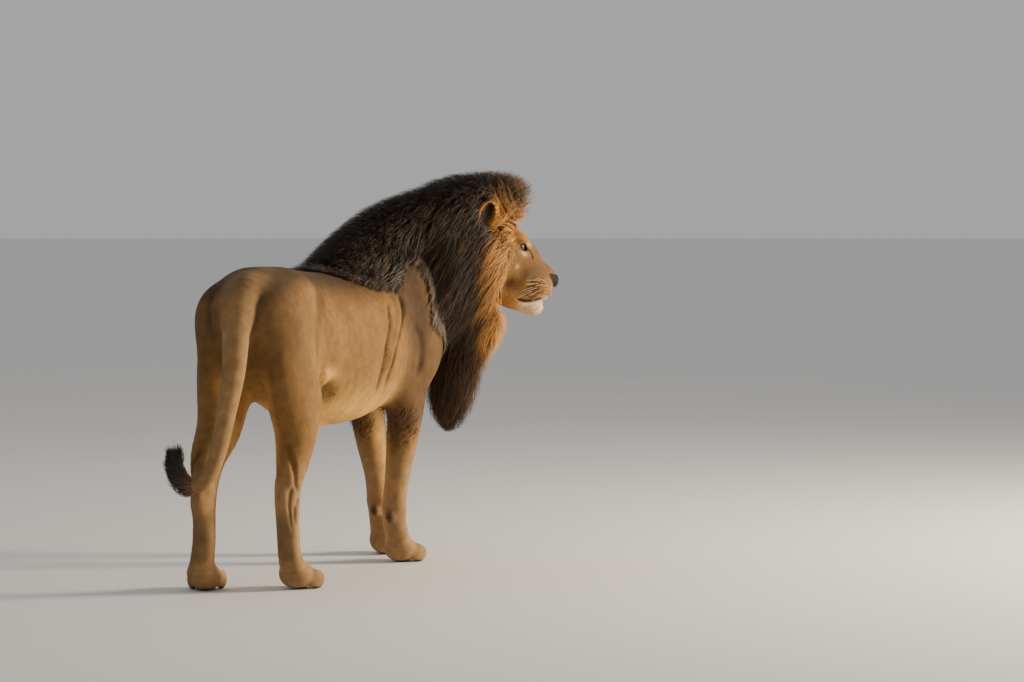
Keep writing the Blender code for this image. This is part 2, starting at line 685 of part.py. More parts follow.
bx = float(bend(0.40))
neck_line = strip("cut_neck", [(-0.36, 1.050), (0.04, 0.990), (0.33, 0.935), (0.505, 0.740), (0.590, 0.400)], 0.60)
take(form, neck_line, "neck", (0.20, 0.60, 1.10))
take(P["neck"], bowl("cut_head"), "head", head_point((0.0, 0.0, 0.0)))
take(P["neck"], slab("cut_throat", (0.25, 0.70, 0.800), (0, 0, 1), 1.0, 1.0), "mane_chest", (0.230, 0.690, 0.700))
take(P["neck"], slab("cut_withers", (0.0, 0.300, 1.1), (0, 1, 0), 1.0, 1.0), "mane_withers", (0.040, 0.200, 1.090))
take(P["head"], strip("cut_mouth", [(0.330, -0.090), (0.240, -0.102), (0.140, -0.132), (0.090, -0.138), (0.060, -0.280)],
                      0.20, head_point), "lower_jaw", head_point((0.0, 0.190, -0.150)))
take(P["head"], strip("cut_nose", [(0.243, 0.120), (0.243, -0.058), (0.330, -0.058)], 0.10, head_point),
     "nose", head_point((0.0, 0.255, -0.045)))
take(form, slab("cut_tail", (0.025, -0.631, 0.78), (0, 1, 0), 0.30, 0.56), "tail_base", (0.031, -0.674, 0.800))
take(P["tail_base"], slab("cut_tail_mid", (0.018, -0.695, 0.620), (0, 0, 1), 0.16, 0.16), "tail_mid", (0.000, -0.742, 0.440))
take(P["tail_mid"], slab("cut_tuft", (-0.088, -0.766, 0.352), (1, 0, 0), 0.13, 0.13), "tail_tuft", (-0.129, -0.769, 0.420))
for s, side in ((1, "right"), (-1, "left")):
    px, py, _ = PAWS["h" + side[0]]
    take(form, slab("cut_thigh_" + side, (0.160 * s, -0.46, 0.535), (0, 0, 1), 0.31, 0.36), "leg_hind_" + side,
         (0.120 * s, -0.45, 0.500))
    take(P["leg_hind_" + side], slab("cut_hock_" + side, (px, py - 0.08, 0.330), (0, 0, 1), 0.24, 0.30),
         "foot_hind_" + side, (px + HEEL_IN["h" + side[0]], py - 0.085, 0.200))
    take(P["foot_hind_" + side], slab("cut_paw_h" + side, (px, py - 0.03, 0.100), (0, -0.15, 1), 0.24, 0.30),
         "paw_hind_" + side, (px, py, 0.040))
for s, side in ((1, "right"), (-1, "left")):
    px, py, _ = PAWS["f" + side[0]]
    sx = 0.175 if s > 0 else -0.062
    take(form, slab("cut_elbow_" + side, (sx, 0.37 if s > 0 else 0.46, 0.500), (0, 0, 1), 0.225, 0.27), "leg_front_" + side,
         ((px + sx) / 2, py - 0.08, 0.380))
    take(P["leg_front_" + side], slab("cut_wrist_" + side, (px, py - 0.05, 0.115), (0, -0.15, 1), 0.24, 0.26),
         "paw_front_" + side, (px, py, 0.040))
take(form, slab("cut_rib", (0.0, 0.120, 0.75), (0, 1, 0), 1.0, 1.0), "chest", (bx, 0.300, 0.800))
take(form, slab("cut_loin", (0.0, -0.285, 0.75), (0, 1, 0), 1.0, 1.0), "hindquarters", (0.0, -0.430, 0.800))
form.name = form.data.name = "belly"
P["belly"] = form
for side in ("right", "left"):
    P["eye_" + side], P["ear_" + side] = made["eye_" + side], made["ear_" + side]

# ---- finish: the lion's own colours, and each piece turned to its place --------------------------
COLOURS = {"coat": (0.43, 0.30, 0.17), "pale": (0.58, 0.45, 0.30), "mane": (0.10, 0.055, 0.030),
           "gold": (0.42, 0.21, 0.07), "nose": (0.035, 0.026, 0.024), "eye": (0.55, 0.30, 0.06)}
OF = {"neck": "mane", "mane_chest": "mane", "mane_withers": "mane", "tail_tuft": "mane", "nose": "nose",
      "ear_left": "gold", "ear_right": "gold", "head": "gold", "lower_jaw": "pale", "eye_left": "eye", "eye_right": "eye"}
ends = np.array([v.co[:] for ob in P.values() for v in ob.data.vertices])
middle = (ends.min(0) + ends.max(0)) / 2          # the model's middle goes to X = Y = 0
turn = Matrix.Translation((middle[0], middle[1], 0)) @ Matrix.Rotation(math.pi, 4, "Z")
for name, ob in P.items():
    mat = bpy.data.materials.new("lion_" + name)
    mat.use_nodes = True
    shader = mat.node_tree.nodes["Principled BSDF"]
    shader.inputs["Base Color"].default_value = (*COLOURS[OF.get(name, "pale" if "paw" in name else "coat")], 1)
    shader.inputs["Roughness"].default_value = 0.15 if "eye" in name else 0.45 if name == "nose" else 0.85
    shader.inputs["Metallic"].default_value = 0.0
    bm = bmesh.new()
    bm.from_mesh(ob.data)
    bmesh.ops.triangulate(bm, faces=bm.faces[:])
    bmesh.ops.transform(bm, matrix=turn, verts=bm.verts)
    bmesh.ops.recalc_face_normals(bm, faces=bm.faces)
    if bm.calc_volume(signed=True) < 0:
        bmesh.ops.reverse_faces(bm, faces=bm.faces)
    me = bpy.data.meshes.new(name)
    bm.to_mesh(me)
    bm.free()
    me.materials.append(mat)
    me.polygons.foreach_set("use_smooth", [name.startswith("eye")] * len(me.polygons))
    ob.data = me
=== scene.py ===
import bpy
import time
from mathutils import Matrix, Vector, kdtree


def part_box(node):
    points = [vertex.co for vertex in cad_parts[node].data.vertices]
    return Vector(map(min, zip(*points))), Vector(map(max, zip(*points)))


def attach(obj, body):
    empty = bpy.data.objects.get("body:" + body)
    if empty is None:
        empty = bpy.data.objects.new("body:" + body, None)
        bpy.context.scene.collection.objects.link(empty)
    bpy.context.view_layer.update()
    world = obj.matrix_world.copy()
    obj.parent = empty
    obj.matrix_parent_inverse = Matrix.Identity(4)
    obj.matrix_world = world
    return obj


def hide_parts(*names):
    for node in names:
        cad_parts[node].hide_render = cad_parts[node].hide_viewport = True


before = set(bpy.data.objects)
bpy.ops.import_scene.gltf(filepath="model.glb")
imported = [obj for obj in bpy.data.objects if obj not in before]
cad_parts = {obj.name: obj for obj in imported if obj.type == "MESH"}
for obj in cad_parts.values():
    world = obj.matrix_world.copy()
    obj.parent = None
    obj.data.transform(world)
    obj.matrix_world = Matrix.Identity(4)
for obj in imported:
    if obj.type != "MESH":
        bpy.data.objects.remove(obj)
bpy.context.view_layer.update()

CLOCK = time.time()


def tick(what):
    print(f"{what}: {time.time() - CLOCK:.1f} s")



import math
import numpy as np

# ----------------------------------------------------------------------------------------------
# The lion's form.  Lion coordinates: x = its right, y = forwards, z = up, in metres, origin on
# the ground under the middle of the trunk.
# ----------------------------------------------------------------------------------------------
BACK_DEPTH = 0.006        # short coat on the body
HEAD_AT = np.array([0.288, 0.715, 1.066])   # middle of the cranium, at eye height
HEAD_YAW = -53.0          # degrees, turned to the lion's right
HEAD_PITCH = -13.0        # degrees, nose down
HEAD_SIZE = 1.07
PAWS = {                  # side, paw centre (x, y), toes turned out in degrees
    "fr": (0.118, 0.415, 22.0),
    "fl": (-0.030, 0.620, 4.0),
    "hr": (0.125, -0.420, 14.0),
    "hl": (-0.132, -0.560, -25.0),
}


HEEL_IN = {"hr": 0.0, "hl": 0.034}       # the heel lies this far inside the paw, which is turned out


def bend(y):
    """The spine curves to the lion's right from the loin to the shoulders."""
    t = np.maximum(np.asarray(y, float) + 0.30, 0.0)
    return 0.125 * t * t


def unit(v):
    v = np.asarray(v, float)
    return v / np.linalg.norm(v)


def rot(ax, deg):
    c, s = math.cos(math.radians(deg)), math.sin(math.radians(deg))
    return {"x": np.array([[1, 0, 0], [0, c, -s], [0, s, c]]),
            "y": np.array([[c, 0, s], [0, 1, 0], [-s, 0, c]]),
            "z": np.array([[c, -s, 0], [s, c, 0], [0, 0, 1]])}[ax]


HEAD_ROT = rot("z", HEAD_YAW) @ rot("x", HEAD_PITCH)


def head_point(p):
    """A point of the head's own frame (x right, y to the nose, z up) in lion coordinates."""
    return HEAD_AT + HEAD_ROT @ (np.asarray(p, float) * HEAD_SIZE)


def smin(a, b, k):
    h = np.maximum(k - np.abs(a - b), 0.0) / k
    return np.minimum(a, b) - h * h * k * 0.25


def smax(a, b, k):
    return -smin(-a, -b, k)


class Ball:
    """An ellipsoid: centre, half axes and a rotation whose columns are its axes."""

    def __init__(self, c, r, R=None):
        self.c, self.r = np.asarray(c, float), np.asarray(r, float) * np.ones(3)
        self.R = np.eye(3) if R is None else np.asarray(R, float)
        self.lo, self.hi = self.c - self.r.max(), self.c + self.r.max()

    def dist(self, p):
        q = (p - self.c) @ self.R
        k0 = np.sqrt(((q / self.r) ** 2).sum(1))
        k1 = np.sqrt(((q / self.r ** 2) ** 2).sum(1)) + 1e-9
        return k0 * (k0 - 1.0) / k1

    def frames(self):
        return [(self.c, self.R, self.r)]


class Sweep:
    """A limb: stations (x, y, z, side half-width, half-depth to the front/top, half-depth to the
    back/bottom) with a smooth curve through them, and elliptical sections square to the curve."""

    def __init__(self, stations, side=(1, 0, 0), steps=4):
        s = np.asarray(stations, float)
        n = len(s)
        ext = np.vstack([2 * s[0] - s[1], s, 2 * s[-1] - s[-2]])
        rows = []
        for i in range(n - 1):
            p0, p1, p2, p3 = ext[i:i + 4]
            for j in range(steps):
                t = j / steps
                rows.append(0.5 * (2 * p1 + (p2 - p0) * t + (2 * p0 - 5 * p1 + 4 * p2 - p3) * t * t
                                   + (3 * p1 - p0 - 3 * p2 + p3) * t ** 3))
        rows.append(s[-1])
        self.s = np.array(rows)
        self.pts, self.rad = self.s[:, :3], np.maximum(self.s[:, 3:6], 0.004)
        tan = np.gradient(self.pts, axis=0)
        self.tan = tan / np.linalg.norm(tan, axis=1)[:, None]
        side = unit(side)
        u = side - (self.tan @ side)[:, None] * self.tan
        self.u = u / np.linalg.norm(u, axis=1)[:, None]
        self.v = np.cross(self.u, self.tan)        # front of a leg, top of a neck
        m = self.rad.max()
        self.lo, self.hi = self.pts.min(0) - m, self.pts.max(0) + m

    def dist(self, p):
        best = np.full(len(p), 9.0)
        for i in range(len(self.pts) - 1):
            a, b = self.pts[i], self.pts[i + 1]
            ra, rb = self.rad[i], self.rad[i + 1]
            d = b - a
            q = p - a
            t = np.clip(q @ d / (d @ d), 0, 1)
            q = q - t[:, None] * d
            tn = unit(d)
            u = unit(self.u[i] + self.u[i + 1])
            u = unit(u - (u @ tn) * tn)
            v = np.cross(u, tn)
            qu, qv, qt = q @ u, q @ v, q @ tn
            r = ra + t[:, None] * (rb - ra)
            ru = r[:, 0]
            rv = np.where(qv > 0, r[:, 1], r[:, 2])
            rt = np.minimum(ru, np.minimum(r[:, 1], r[:, 2]))
            a2, b2, c2 = qu / ru, qv / rv, qt / rt
            k0 = np.sqrt(a2 * a2 + b2 * b2 + c2 * c2)
            k1 = np.sqrt((a2 / ru) ** 2 + (b2 / rv) ** 2 + (c2 / rt) ** 2) + 1e-9
            np.minimum(best, k0 * (k0 - 1.0) / k1, out=best)
        return best

    def frames(self):
        out = []
        for p, t, u, v, r in zip(self.pts, self.tan, self.u, self.v, self.rad):
            h = 0.5 * (r[1] - r[2])
            m = 0.5 * (r[1] + r[2])
            out.append((p + v * h, np.column_stack([u, t, v]), np.array([r[0], min(r[0], m), m])))
        return out


def tilt(*turns):
    R = np.eye(3)
    for ax, deg in turns:
        R = R @ rot(ax, deg)
    return R


def build_parts():
    """Every part as (shape, blend radius) in the order of joining."""
    parts = {}

    # ---- trunk: stations along the spine: y, top, middle, bottom, half-width
    spine = [(-0.605, 0.915, 0.860, 0.790, 0.070), (-0.560, 0.965, 0.862, 0.740, 0.118),
             (-0.460, 1.016, 0.850, 0.660, 0.160), (-0.320, 1.020, 0.815, 0.575, 0.170),
             (-0.170, 1.006, 0.775, 0.512, 0.192), (-0.030, 1.004, 0.760, 0.488, 0.215),
             (0.110, 1.014, 0.765, 0.492, 0.218), (0.240, 1.045, 0.785, 0.528, 0.203),
             (0.360, 1.068, 0.800, 0.572, 0.178), (0.460, 1.050, 0.805, 0.620, 0.145),
             (0.545, 0.985, 0.810, 0.680, 0.100)]
    trunk = [(Sweep([(bend(y), y, m, w, t - m, m - b) for y, t, m, b, w in spine]), 0.03)]
    for s in (-1, 1):
        trunk += [
            (Ball((0.072 * s, -0.415, 0.930), (0.072, 0.110, 0.072), tilt(("x", 8))), 0.06),     # hip
            (Ball((0.098 * s, -0.520, 0.830), (0.080, 0.095, 0.125), tilt(("x", 22))), 0.06),     # rump
            (Ball((bend(0.33) + 0.100 * s, 0.320, 0.905), (0.080, 0.125, 0.165), tilt(("x", -12))), 0.05),
            (Ball((bend(0.35) + 0.135 * s, 0.370, 0.740), (0.080, 0.125, 0.120)), 0.05),
        ]
    trunk.append((Ball((bend(0.38), 0.380, 0.985), (0.055, 0.150, 0.085)), 0.06))                 # withers
    for s in (-1, 1):
        trunk.append((Ball((0.023 * s, -0.588, 0.735), (0.029, 0.034, 0.044)), 0.015))
    trunk.append((Ball((bend(-0.10), -0.10, 0.500), (0.030, 0.075, 0.028)), 0.04))
    parts["trunk"] = trunk

    # ---- neck
    hx, hy, hz = HEAD_AT
    bx = float(bend(0.40))
    neck = [(bx - 0.010, 0.330, 0.870, 0.150, 0.175, 0.175), (bx + 0.035, 0.445, 0.905, 0.148, 0.170, 0.170),
            (bx + 0.110, 0.555, 0.960, 0.132, 0.145, 0.150), (bx + 0.175, 0.640, 1.010, 0.120, 0.120, 0.130),
            (hx, hy, hz - 0.005, 0.105, 0.090, 0.105)]
    parts["neck"] = [(Sweep(neck), 0.06)]

    # ---- tail
    path = [(0.008, -0.490, 0.940, 0.070), (0.018, -0.580, 0.935, 0.062), (0.026, -0.642, 0.885, 0.054),
            (0.031, -0.674, 0.800, 0.047), (0.031, -0.690, 0.690, 0.040), (0.020, -0.715, 0.577, 0.035),
            (0.000, -0.742, 0.440, 0.030), (-0.030, -0.760, 0.366, 0.027), (-0.066, -0.766, 0.346, 0.025),
            (-0.100, -0.768, 0.358, 0.023), (-0.122, -0.769, 0.386, 0.019), (-0.130, -0.769, 0.424, 0.013)]
    parts["tail"] = [(Sweep([(x, y, z, r, r, r) for x, y, z, r in path]), 0.035)]

    # ---- legs: stations from the body down: x, y, z, half-width, half-depth front, back
    for name, (px, py, turn) in PAWS.items():
        s = 1 if name[1] == "r" else -1
        if name[0] == "f":
            cx, sy = float(bend(0.36)), 0.350
            ox, ey = cx + (0.118 if s > 0 else -0.102), 0.35 * sy + 0.65 * py - 0.055   # shoulder, elbow
            wx, wy = px, py - 0.075                                   # wrist
            st = [(cx + 0.105 * s, sy - 0.020, 0.900, 0.050, 0.080, 0.100),
                  (ox, sy + 0.050, 0.750, 0.066, 0.085, 0.125),
                  (ox, 0.5 * (sy + ey), 0.620, 0.066, 0.082, 0.094),
                  (0.8 * ox + 0.2 * wx, ey, 0.520, 0.064, 0.073, 0.070),
                  (0.5 * (ox + wx), 0.6 * ey + 0.4 * wy, 0.400, 0.056, 0.060, 0.056),
                  (0.2 * ox + 0.8 * wx, 0.2 * ey + 0.8 * wy, 0.290, 0.046, 0.045, 0.044),
                  (wx, wy, 0.190, 0.045, 0.042, 0.042),
                  (0.9 * wx + 0.1 * px, wy + 0.016, 0.115, 0.044, 0.041, 0.038),
                  (px, py - 0.035, 0.058, 0.050, 0.046, 0.040)]
            leg = [(Sweep(st), 0.05),
                   (Ball((0.9 * ox + 0.1 * wx, ey - 0.055, 0.575), (0.045, 0.052, 0.075), tilt(("x", 20))), 0.05),
                   (Ball((wx, wy - 0.034, 0.162), (0.018, 0.016, 0.020)), 0.02)]
        else:
            hy0 = -0.455
            wx, wy = px + HEEL_IN[name], py - 0.085                   # hock
            st = [(0.092 * s, hy0 + 0.020, 0.850, 0.078, 0.110, 0.120),
                  (0.115 * s, hy0 - 0.005, 0.730, 0.076, 0.130, 0.130),
                  (0.122 * s, hy0 - 0.005, 0.615, 0.080, 0.116, 0.113),
                  (0.5 * (0.124 * s + wx), 0.5 * (hy0 + py) - 0.005, 0.515, 0.072, 0.092, 0.084),
                  (0.3 * 0.120 * s + 0.7 * wx, wy + 0.045, 0.425, 0.059, 0.068, 0.060),
                  (wx, wy + 0.010, 0.345, 0.047, 0.050, 0.048),
                  (wx, wy, 0.270, 0.043, 0.044, 0.046),
                  (wx, wy + 0.004, 0.180, 0.041, 0.040, 0.038),
                  (0.6 * wx + 0.4 * px, wy + 0.018, 0.105, 0.043, 0.040, 0.037),
                  (px, wy + 0.050, 0.058, 0.049, 0.046, 0.040)]
            leg = [(Sweep(st), 0.06),
                   (Ball((wx, wy - 0.034, 0.285), (0.019, 0.020, 0.036), tilt(("x", 12))), 0.03),
                   (Ball((0.13 * s, hy0 + 0.070, 0.590), (0.045, 0.065, 0.070)), 0.05)]
        T = rot("z", -turn)

        def paw(d):
            return np.array([px, py, 0.0]) + T @ np.asarray(d, float)

        leg.append((Ball(paw((0, -0.004, 0.042)), (0.053, 0.064, 0.044), T), 0.03))
        for dx, dy in ((-0.045, 0.028), (-0.0165, 0.050), (0.0165, 0.050), (0.045, 0.028)):
            leg.append((Ball(paw((dx, dy, 0.030)), (0.0205, 0.036, 0.033), T @ tilt(("z", -dx * 220))), 0.010))
        parts["leg_" + name] = leg

    # ---- head, in its own frame
    def hb(c, r, *turns):
        return Ball(head_point(c), np.asarray(r) * HEAD_SIZE, HEAD_ROT @ tilt(*turns))

    # stations along the skull: y, middle z, half-width, above, below
    skull = [(-0.110, 0.018, 0.058, 0.052, 0.070), (-0.060, 0.018, 0.086, 0.080, 0.090),
             (0.000, 0.014, 0.095, 0.092, 0.095), (0.055, 0.012, 0.084, 0.090, 0.090),
             (0.105, 0.006, 0.068, 0.078, 0.076), (0.142, -0.002, 0.055, 0.063, 0.064),
             (0.170, -0.012, 0.047, 0.045, 0.056), (0.196, -0.023, 0.044, 0.038, 0.054),
             (0.222, -0.036, 0.043, 0.037, 0.050), (0.246, -0.046, 0.035, 0.031, 0.036)]
    axis = []
    for y, m, w, t, b in skull:
        p = head_point((0, y, m))
        axis.append((p[0], p[1], p[2], w * HEAD_SIZE, t * HEAD_SIZE, b * HEAD_SIZE))
    head = [(Sweep(axis, side=HEAD_ROT[:, 0]), 0.02),
            (hb((0, 0.100, -0.112), (0.057, 0.118, 0.050)), 0.03),              # jaw
            (hb((0, 0.158, -0.128), (0.043, 0.060, 0.038)), 0.03),              # lower lip
            (hb((0, 0.206, -0.139), (0.036, 0.040, 0.033)), 0.022)]             # chin
    for s in (-1, 1):
        head += [(hb((0.070 * s, 0.048, -0.018), (0.046, 0.070, 0.058), ("z", 12 * s)), 0.04),     # cheek bone
                 (hb((0.066 * s, -0.005, -0.070), (0.046, 0.070, 0.070)), 0.04),                   # jaw muscle
                 (hb((0.036 * s, 0.150, -0.052), (0.035, 0.075, 0.046), ("z", 9 * s)), 0.03),      # side of the muzzle
                 (hb((0.034 * s, 0.206, -0.082), (0.037, 0.046, 0.042), ("z", -10 * s)), 0.018),   # whisker pad
                 (hb((0.043 * s, 0.103, 0.064), (0.027, 0.030, 0.0165), ("z", -22 * s), ("y", 22 * s)), 0.020),   # brow
                 (hb((0.0518 * s, 0.1052, 0.0350), (0.0245, 0.0245, 0.0215)), 0.014)]              # eyelids
    parts["head"] = head
    return parts


EYE_AT = (0.0530, 0.1065, 0.0350)      # in the head's frame, right eye
EYE_R = 0.0180
EAR_AT = (0.092, -0.040, 0.062)        # root of the right ear, head's frame


def ear_frame(s):
    """Origin at the ear's root and axes: across, out of its opening, up to its tip."""
    up = unit((0.46 * s, -0.10, 0.88))
    out = unit((0.80 * s, 0.60, 0.0))
    out = unit(out - (out @ up) * up)
    across = np.cross(out, up)
    return head_point((EAR_AT[0] * s, *EAR_AT[1:])), HEAD_ROT @ np.column_stack([across, out, up])


def part_dist(shapes, p, reach=0.16):
    d = np.full(len(p), 9.0)
    for shape, k in shapes:
        near = ((p > shape.lo - reach) & (p < shape.hi + reach)).all(1)
        if near.any():
            e = shape.dist(p[near])
            d[near] = smin(d[near], e, k)
    return d


JOIN = {"trunk": 0.0, "neck": 0.09, "tail": 0.035, "leg_fr": 0.055, "leg_fl": 0.055,
        "leg_hr": 0.040, "leg_hl": 0.040, "head": 0.05}


def body_dist(parts, p, each=False):
    """Signed distance to the flesh, and to each part if asked.  Each leg and the tail grow out of the
    trunk alone, so two limbs that stand close together stay apart."""
    found = {name: part_dist(shapes, p) for name, shapes in parts.items()}
    core = found["trunk"]
    core = smin(core, found["neck"], JOIN["neck"])
    core = smin(core, found["head"], JOIN["head"])
    d = core
    for name in ("tail", "leg_fr", "leg_fl", "leg_hr", "leg_hl"):
        d = np.minimum(d, smin(core, found[name], JOIN[name]))
    return (d, found) if each else d


# ---- the mane, as the outer shape of all its locks ---------------------------------------------
def mane_shapes():
    ruff = [(0.006, -0.055, 0.990, 0.050, 0.030, 0.040), (0.012, 0.020, 0.990, 0.100, 0.060, 0.060),
            (0.028, 0.110, 0.985, 0.135, 0.115, 0.090), (0.045, 0.220, 0.980, 0.165, 0.180, 0.120),
            (0.065, 0.330, 0.965, 0.182, 0.250, 0.170), (0.115, 0.450, 0.965, 0.200, 0.290, 0.235),
            (0.180, 0.565, 0.995, 0.212, 0.300, 0.300), (0.245, 0.655, 1.035, 0.215, 0.300, 0.320),
            (0.300, 0.720, 1.060, 0.205, 0.278, 0.310), (0.345, 0.755, 1.065, 0.190, 0.250, 0.290)]
    curtain = [(0.265, 0.700, 0.930, 0.170, 0.140, 0.150), (0.258, 0.708, 0.800, 0.160, 0.088, 0.150),
               (0.230, 0.692, 0.700, 0.145, 0.050, 0.140), (0.206, 0.672, 0.580, 0.112, 0.060, 0.110),
               (0.196, 0.662, 0.500, 0.080, 0.052, 0.075), (0.188, 0.655, 0.468, 0.040, 0.030, 0.036)]
    crest = Ball(head_point((0, 0.040, 0.170)), np.array([0.095, 0.078, 0.077]) * HEAD_SIZE, HEAD_ROT)
    return [(Sweep(ruff), 0.03), (Sweep(curtain, side=(0.819, -0.574, 0)), 0.05), (crest, 0.06)]


def ramp(x, a, b):
    t = np.clip((x - a) / (b - a), 0.0, 1.0)
    return t * t * (3 - 2 * t)


def head_frame(p):
    """Lion coordinates to the head's own frame."""
    return (p - HEAD_AT) @ HEAD_ROT / HEAD_SIZE


def mane_dist(shapes, p):
    """Signed distance to the outer shape of the mane: it stops short of the face."""
    d = part_dist(shapes, p)
    q = head_frame(p)
    front = 0.072 + 0.050 * ramp(q[:, 2], 0.045, 0.14) + 0.050 * ramp(-q[:, 2], 0.14, 0.24)
    d = smax(d, (q[:, 1] - front) * HEAD_SIZE, 0.03)
    for s in (-1, 1):                                   # it parts round each ear
        d = smax(d, -EAR_GAP[s].dist(p), 0.025)
        d = smax(d, -BARE_SHOULDER[s].dist(p), 0.020)   # and it leaves the shoulder blade bare
    return d


EAR_GAP = {s: Ball(head_point((0.195 * s, 0.050, 0.160)), np.array([0.125, 0.112, 0.105]) * HEAD_SIZE, HEAD_ROT)
           for s in (-1, 1)}
BARE_SHOULDER = {s: Ball((float(bend(0.28)) + 0.252 * s, 0.268, 0.870), (0.120, 0.088, 0.275), tilt(("x", -14)))
                 for s in (-1, 1)}
TUFT = [(Sweep([(-0.092, -0.767, 0.354, 0.024, 0.024, 0.024), (-0.120, -0.769, 0.382, 0.037, 0.037, 0.037),
                (-0.129, -0.769, 0.420, 0.038, 0.038, 0.038), (-0.125, -0.768, 0.460, 0.018, 0.018, 0.018)]), 0.01)]


def long_coat(p):
    """How far the coat stands beyond the short coat: at the withers and the elbows."""
    x, y, z = p[:, 0], p[:, 1], p[:, 2]
    cx = bend(y)
    withers = 0.026 * ramp(y, -0.09, 0.01) * ramp(0.42 - y, 0.0, 0.10) * ramp(z, 0.86, 0.94)
    elbow = 0.020 * np.exp(-(((y - 0.27) / 0.07) ** 2 + ((z - 0.47) / 0.07) ** 2)) * ramp(x - cx, 0.04, 0.10)
    elbow += 0.016 * np.exp(-(((y - 0.39) / 0.07) ** 2 + ((z - 0.47) / 0.07) ** 2)) * ramp(cx - x, 0.04, 0.10)
    return withers + elbow


def coat_dist(parts, mane, p):
    """Signed distance to the whole lion out to the tips of its coat, without the ears."""
    d = body_dist(parts, p) - long_coat(p)
    d = smin(d, mane_dist(mane, p), 0.02)
    return smin(d, part_dist(TUFT, p), 0.008)


EAR_BODY = (Ball((0, -0.004, 0.042), (0.056, 0.032, 0.062)), Ball((0, 0.027, 0.056), (0.042, 0.034, 0.051)))
GAZE = (0.68, 0.73, 0.02)              # the way each eyelid opening faces, right eye, head's frame


# ---- from a distance function to a mesh -------------------------------------------------------
def band_field(fn, lo, hi, h, mult=4):
    """Samples fn on a grid of step h, in full only near its surface."""
    lo = np.asarray(lo, float)
    n = np.ceil((np.asarray(hi, float) - lo) / (h * mult)).astype(int)
    H = h * mult
    ax = [lo[i] + H * (np.arange(n[i]) + 0.5) for i in range(3)]
    g = np.stack(np.meshgrid(*ax, indexing="ij"), -1).reshape(-1, 3)
    c = fn(g).reshape(n)
    big = np.repeat(np.repeat(np.repeat(c, mult, 0), mult, 1), mult, 2).astype(np.float32)
    near = np.abs(c) < H * 1.5
    idx = np.argwhere(near)
    o = np.stack(np.meshgrid(*[np.arange(mult)] * 3, indexing="ij"), -1).reshape(-1, 3)
    cells = (idx[:, None, :] * mult + o[None]).reshape(-1, 3)
    pts = lo + h * (cells + 0.5)
    vals = np.empty(len(pts), np.float32)
    for s in range(0, len(pts), 400000):
        vals[s:s + 400000] = fn(pts[s:s + 400000])
    big[cells[:, 0], cells[:, 1], cells[:, 2]] = vals
    return big, lo + 0.5 * h


def surface_nets(a, lo, h):
    """Vertices and quads of the zero surface of the grid a."""
    s = a < 0
    corners = [s[i:s.shape[0] - 1 + i, j:s.shape[1] - 1 + j, k:s.shape[2] - 1 + k]
               for i in (0, 1) for j in (0, 1) for k in (0, 1)]
    cnt = sum(c.astype(np.int8) for c in corners)
    act = np.argwhere((cnt > 0) & (cnt < 8))
    ids = np.full(cnt.shape, -1, np.int64)
    ids[act[:, 0], act[:, 1], act[:, 2]] = np.arange(len(act))
    offs = np.array([(i, j, k) for i in (0, 1) for j in (0, 1) for k in (0, 1)])
    vals = [a[act[:, 0] + o[0], act[:, 1] + o[1], act[:, 2] + o[2]] for o in offs]
    acc, num = np.zeros((len(act), 3)), np.zeros(len(act))
    for i in range(8):
        for j in range(i + 1, 8):
            if np.abs(offs[i] - offs[j]).sum() != 1:
                continue
            va, vb = vals[i], vals[j]
            cross = (va < 0) != (vb < 0)
            t = np.where(cross, va / np.where(cross, va - vb, 1), 0)
            acc[cross] += (offs[i] + t[:, None] * (offs[j] - offs[i]))[cross]
            num[cross] += 1
    verts = lo + h * (act + acc / num[:, None])
    quads = []
    for ax in range(3):
        b, c = (ax + 1) % 3, (ax + 2) % 3
        sl0, sl1 = [slice(1, -1)] * 3, [slice(1, -1)] * 3
        sl0[ax], sl1[ax] = slice(0, -1), slice(1, None)
        s0, s1 = s[tuple(sl0)], s[tuple(sl1)]
        e = np.argwhere(s0 != s1)
        base = e.copy()
        for d in range(3):
            if d != ax:
                base[:, d] += 1
        q = []
        for ob, oc in ((0, 0), (-1, 0), (-1, -1), (0, -1)):
            v = base.copy()
            v[:, b] += ob
            v[:, c] += oc
            q.append(ids[v[:, 0], v[:, 1], v[:, 2]])
        q = np.stack(q, 1)
        flip = s0[e[:, 0], e[:, 1], e[:, 2]]
        q[~flip] = q[~flip][:, ::-1]
        quads.append(q)
    return verts, np.concatenate(quads)


def gradient(fn, p, e=0.0012):
    k = np.array([[1, -1, -1], [-1, -1, 1], [-1, 1, -1], [1, 1, 1]], float)
    g = sum(fn(p + e * v)[:, None] * v for v in k)
    return g / (np.linalg.norm(g, axis=1)[:, None] + 1e-12)


def project(fn, p, steps=3, most=0.012, e=0.0012):
    """Moves points onto the zero surface of fn."""
    for _ in range(steps):
        d = np.clip(fn(p), -most, most)
        p = p - gradient(fn, p, e) * d[:, None]
    return p


# ----------------------------------------------------------------------------------------------
# Where the lion stands in the frame: half a turn about z, with the middle of its box at the origin.
# ----------------------------------------------------------------------------------------------
EYE_BOX = np.array(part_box("eye_right"), float).reshape(2, 3)
EYE_IN = head_point(EYE_AT)
CX, CY = EYE_BOX.mean(0)[:2] + EYE_IN[:2]


def to_world(p):
    return np.column_stack([CX - p[:, 0], CY - p[:, 1], p[:, 2]])


def turn(v):
    return np.column_stack([-v[:, 0], -v[:, 1], v[:, 2]])


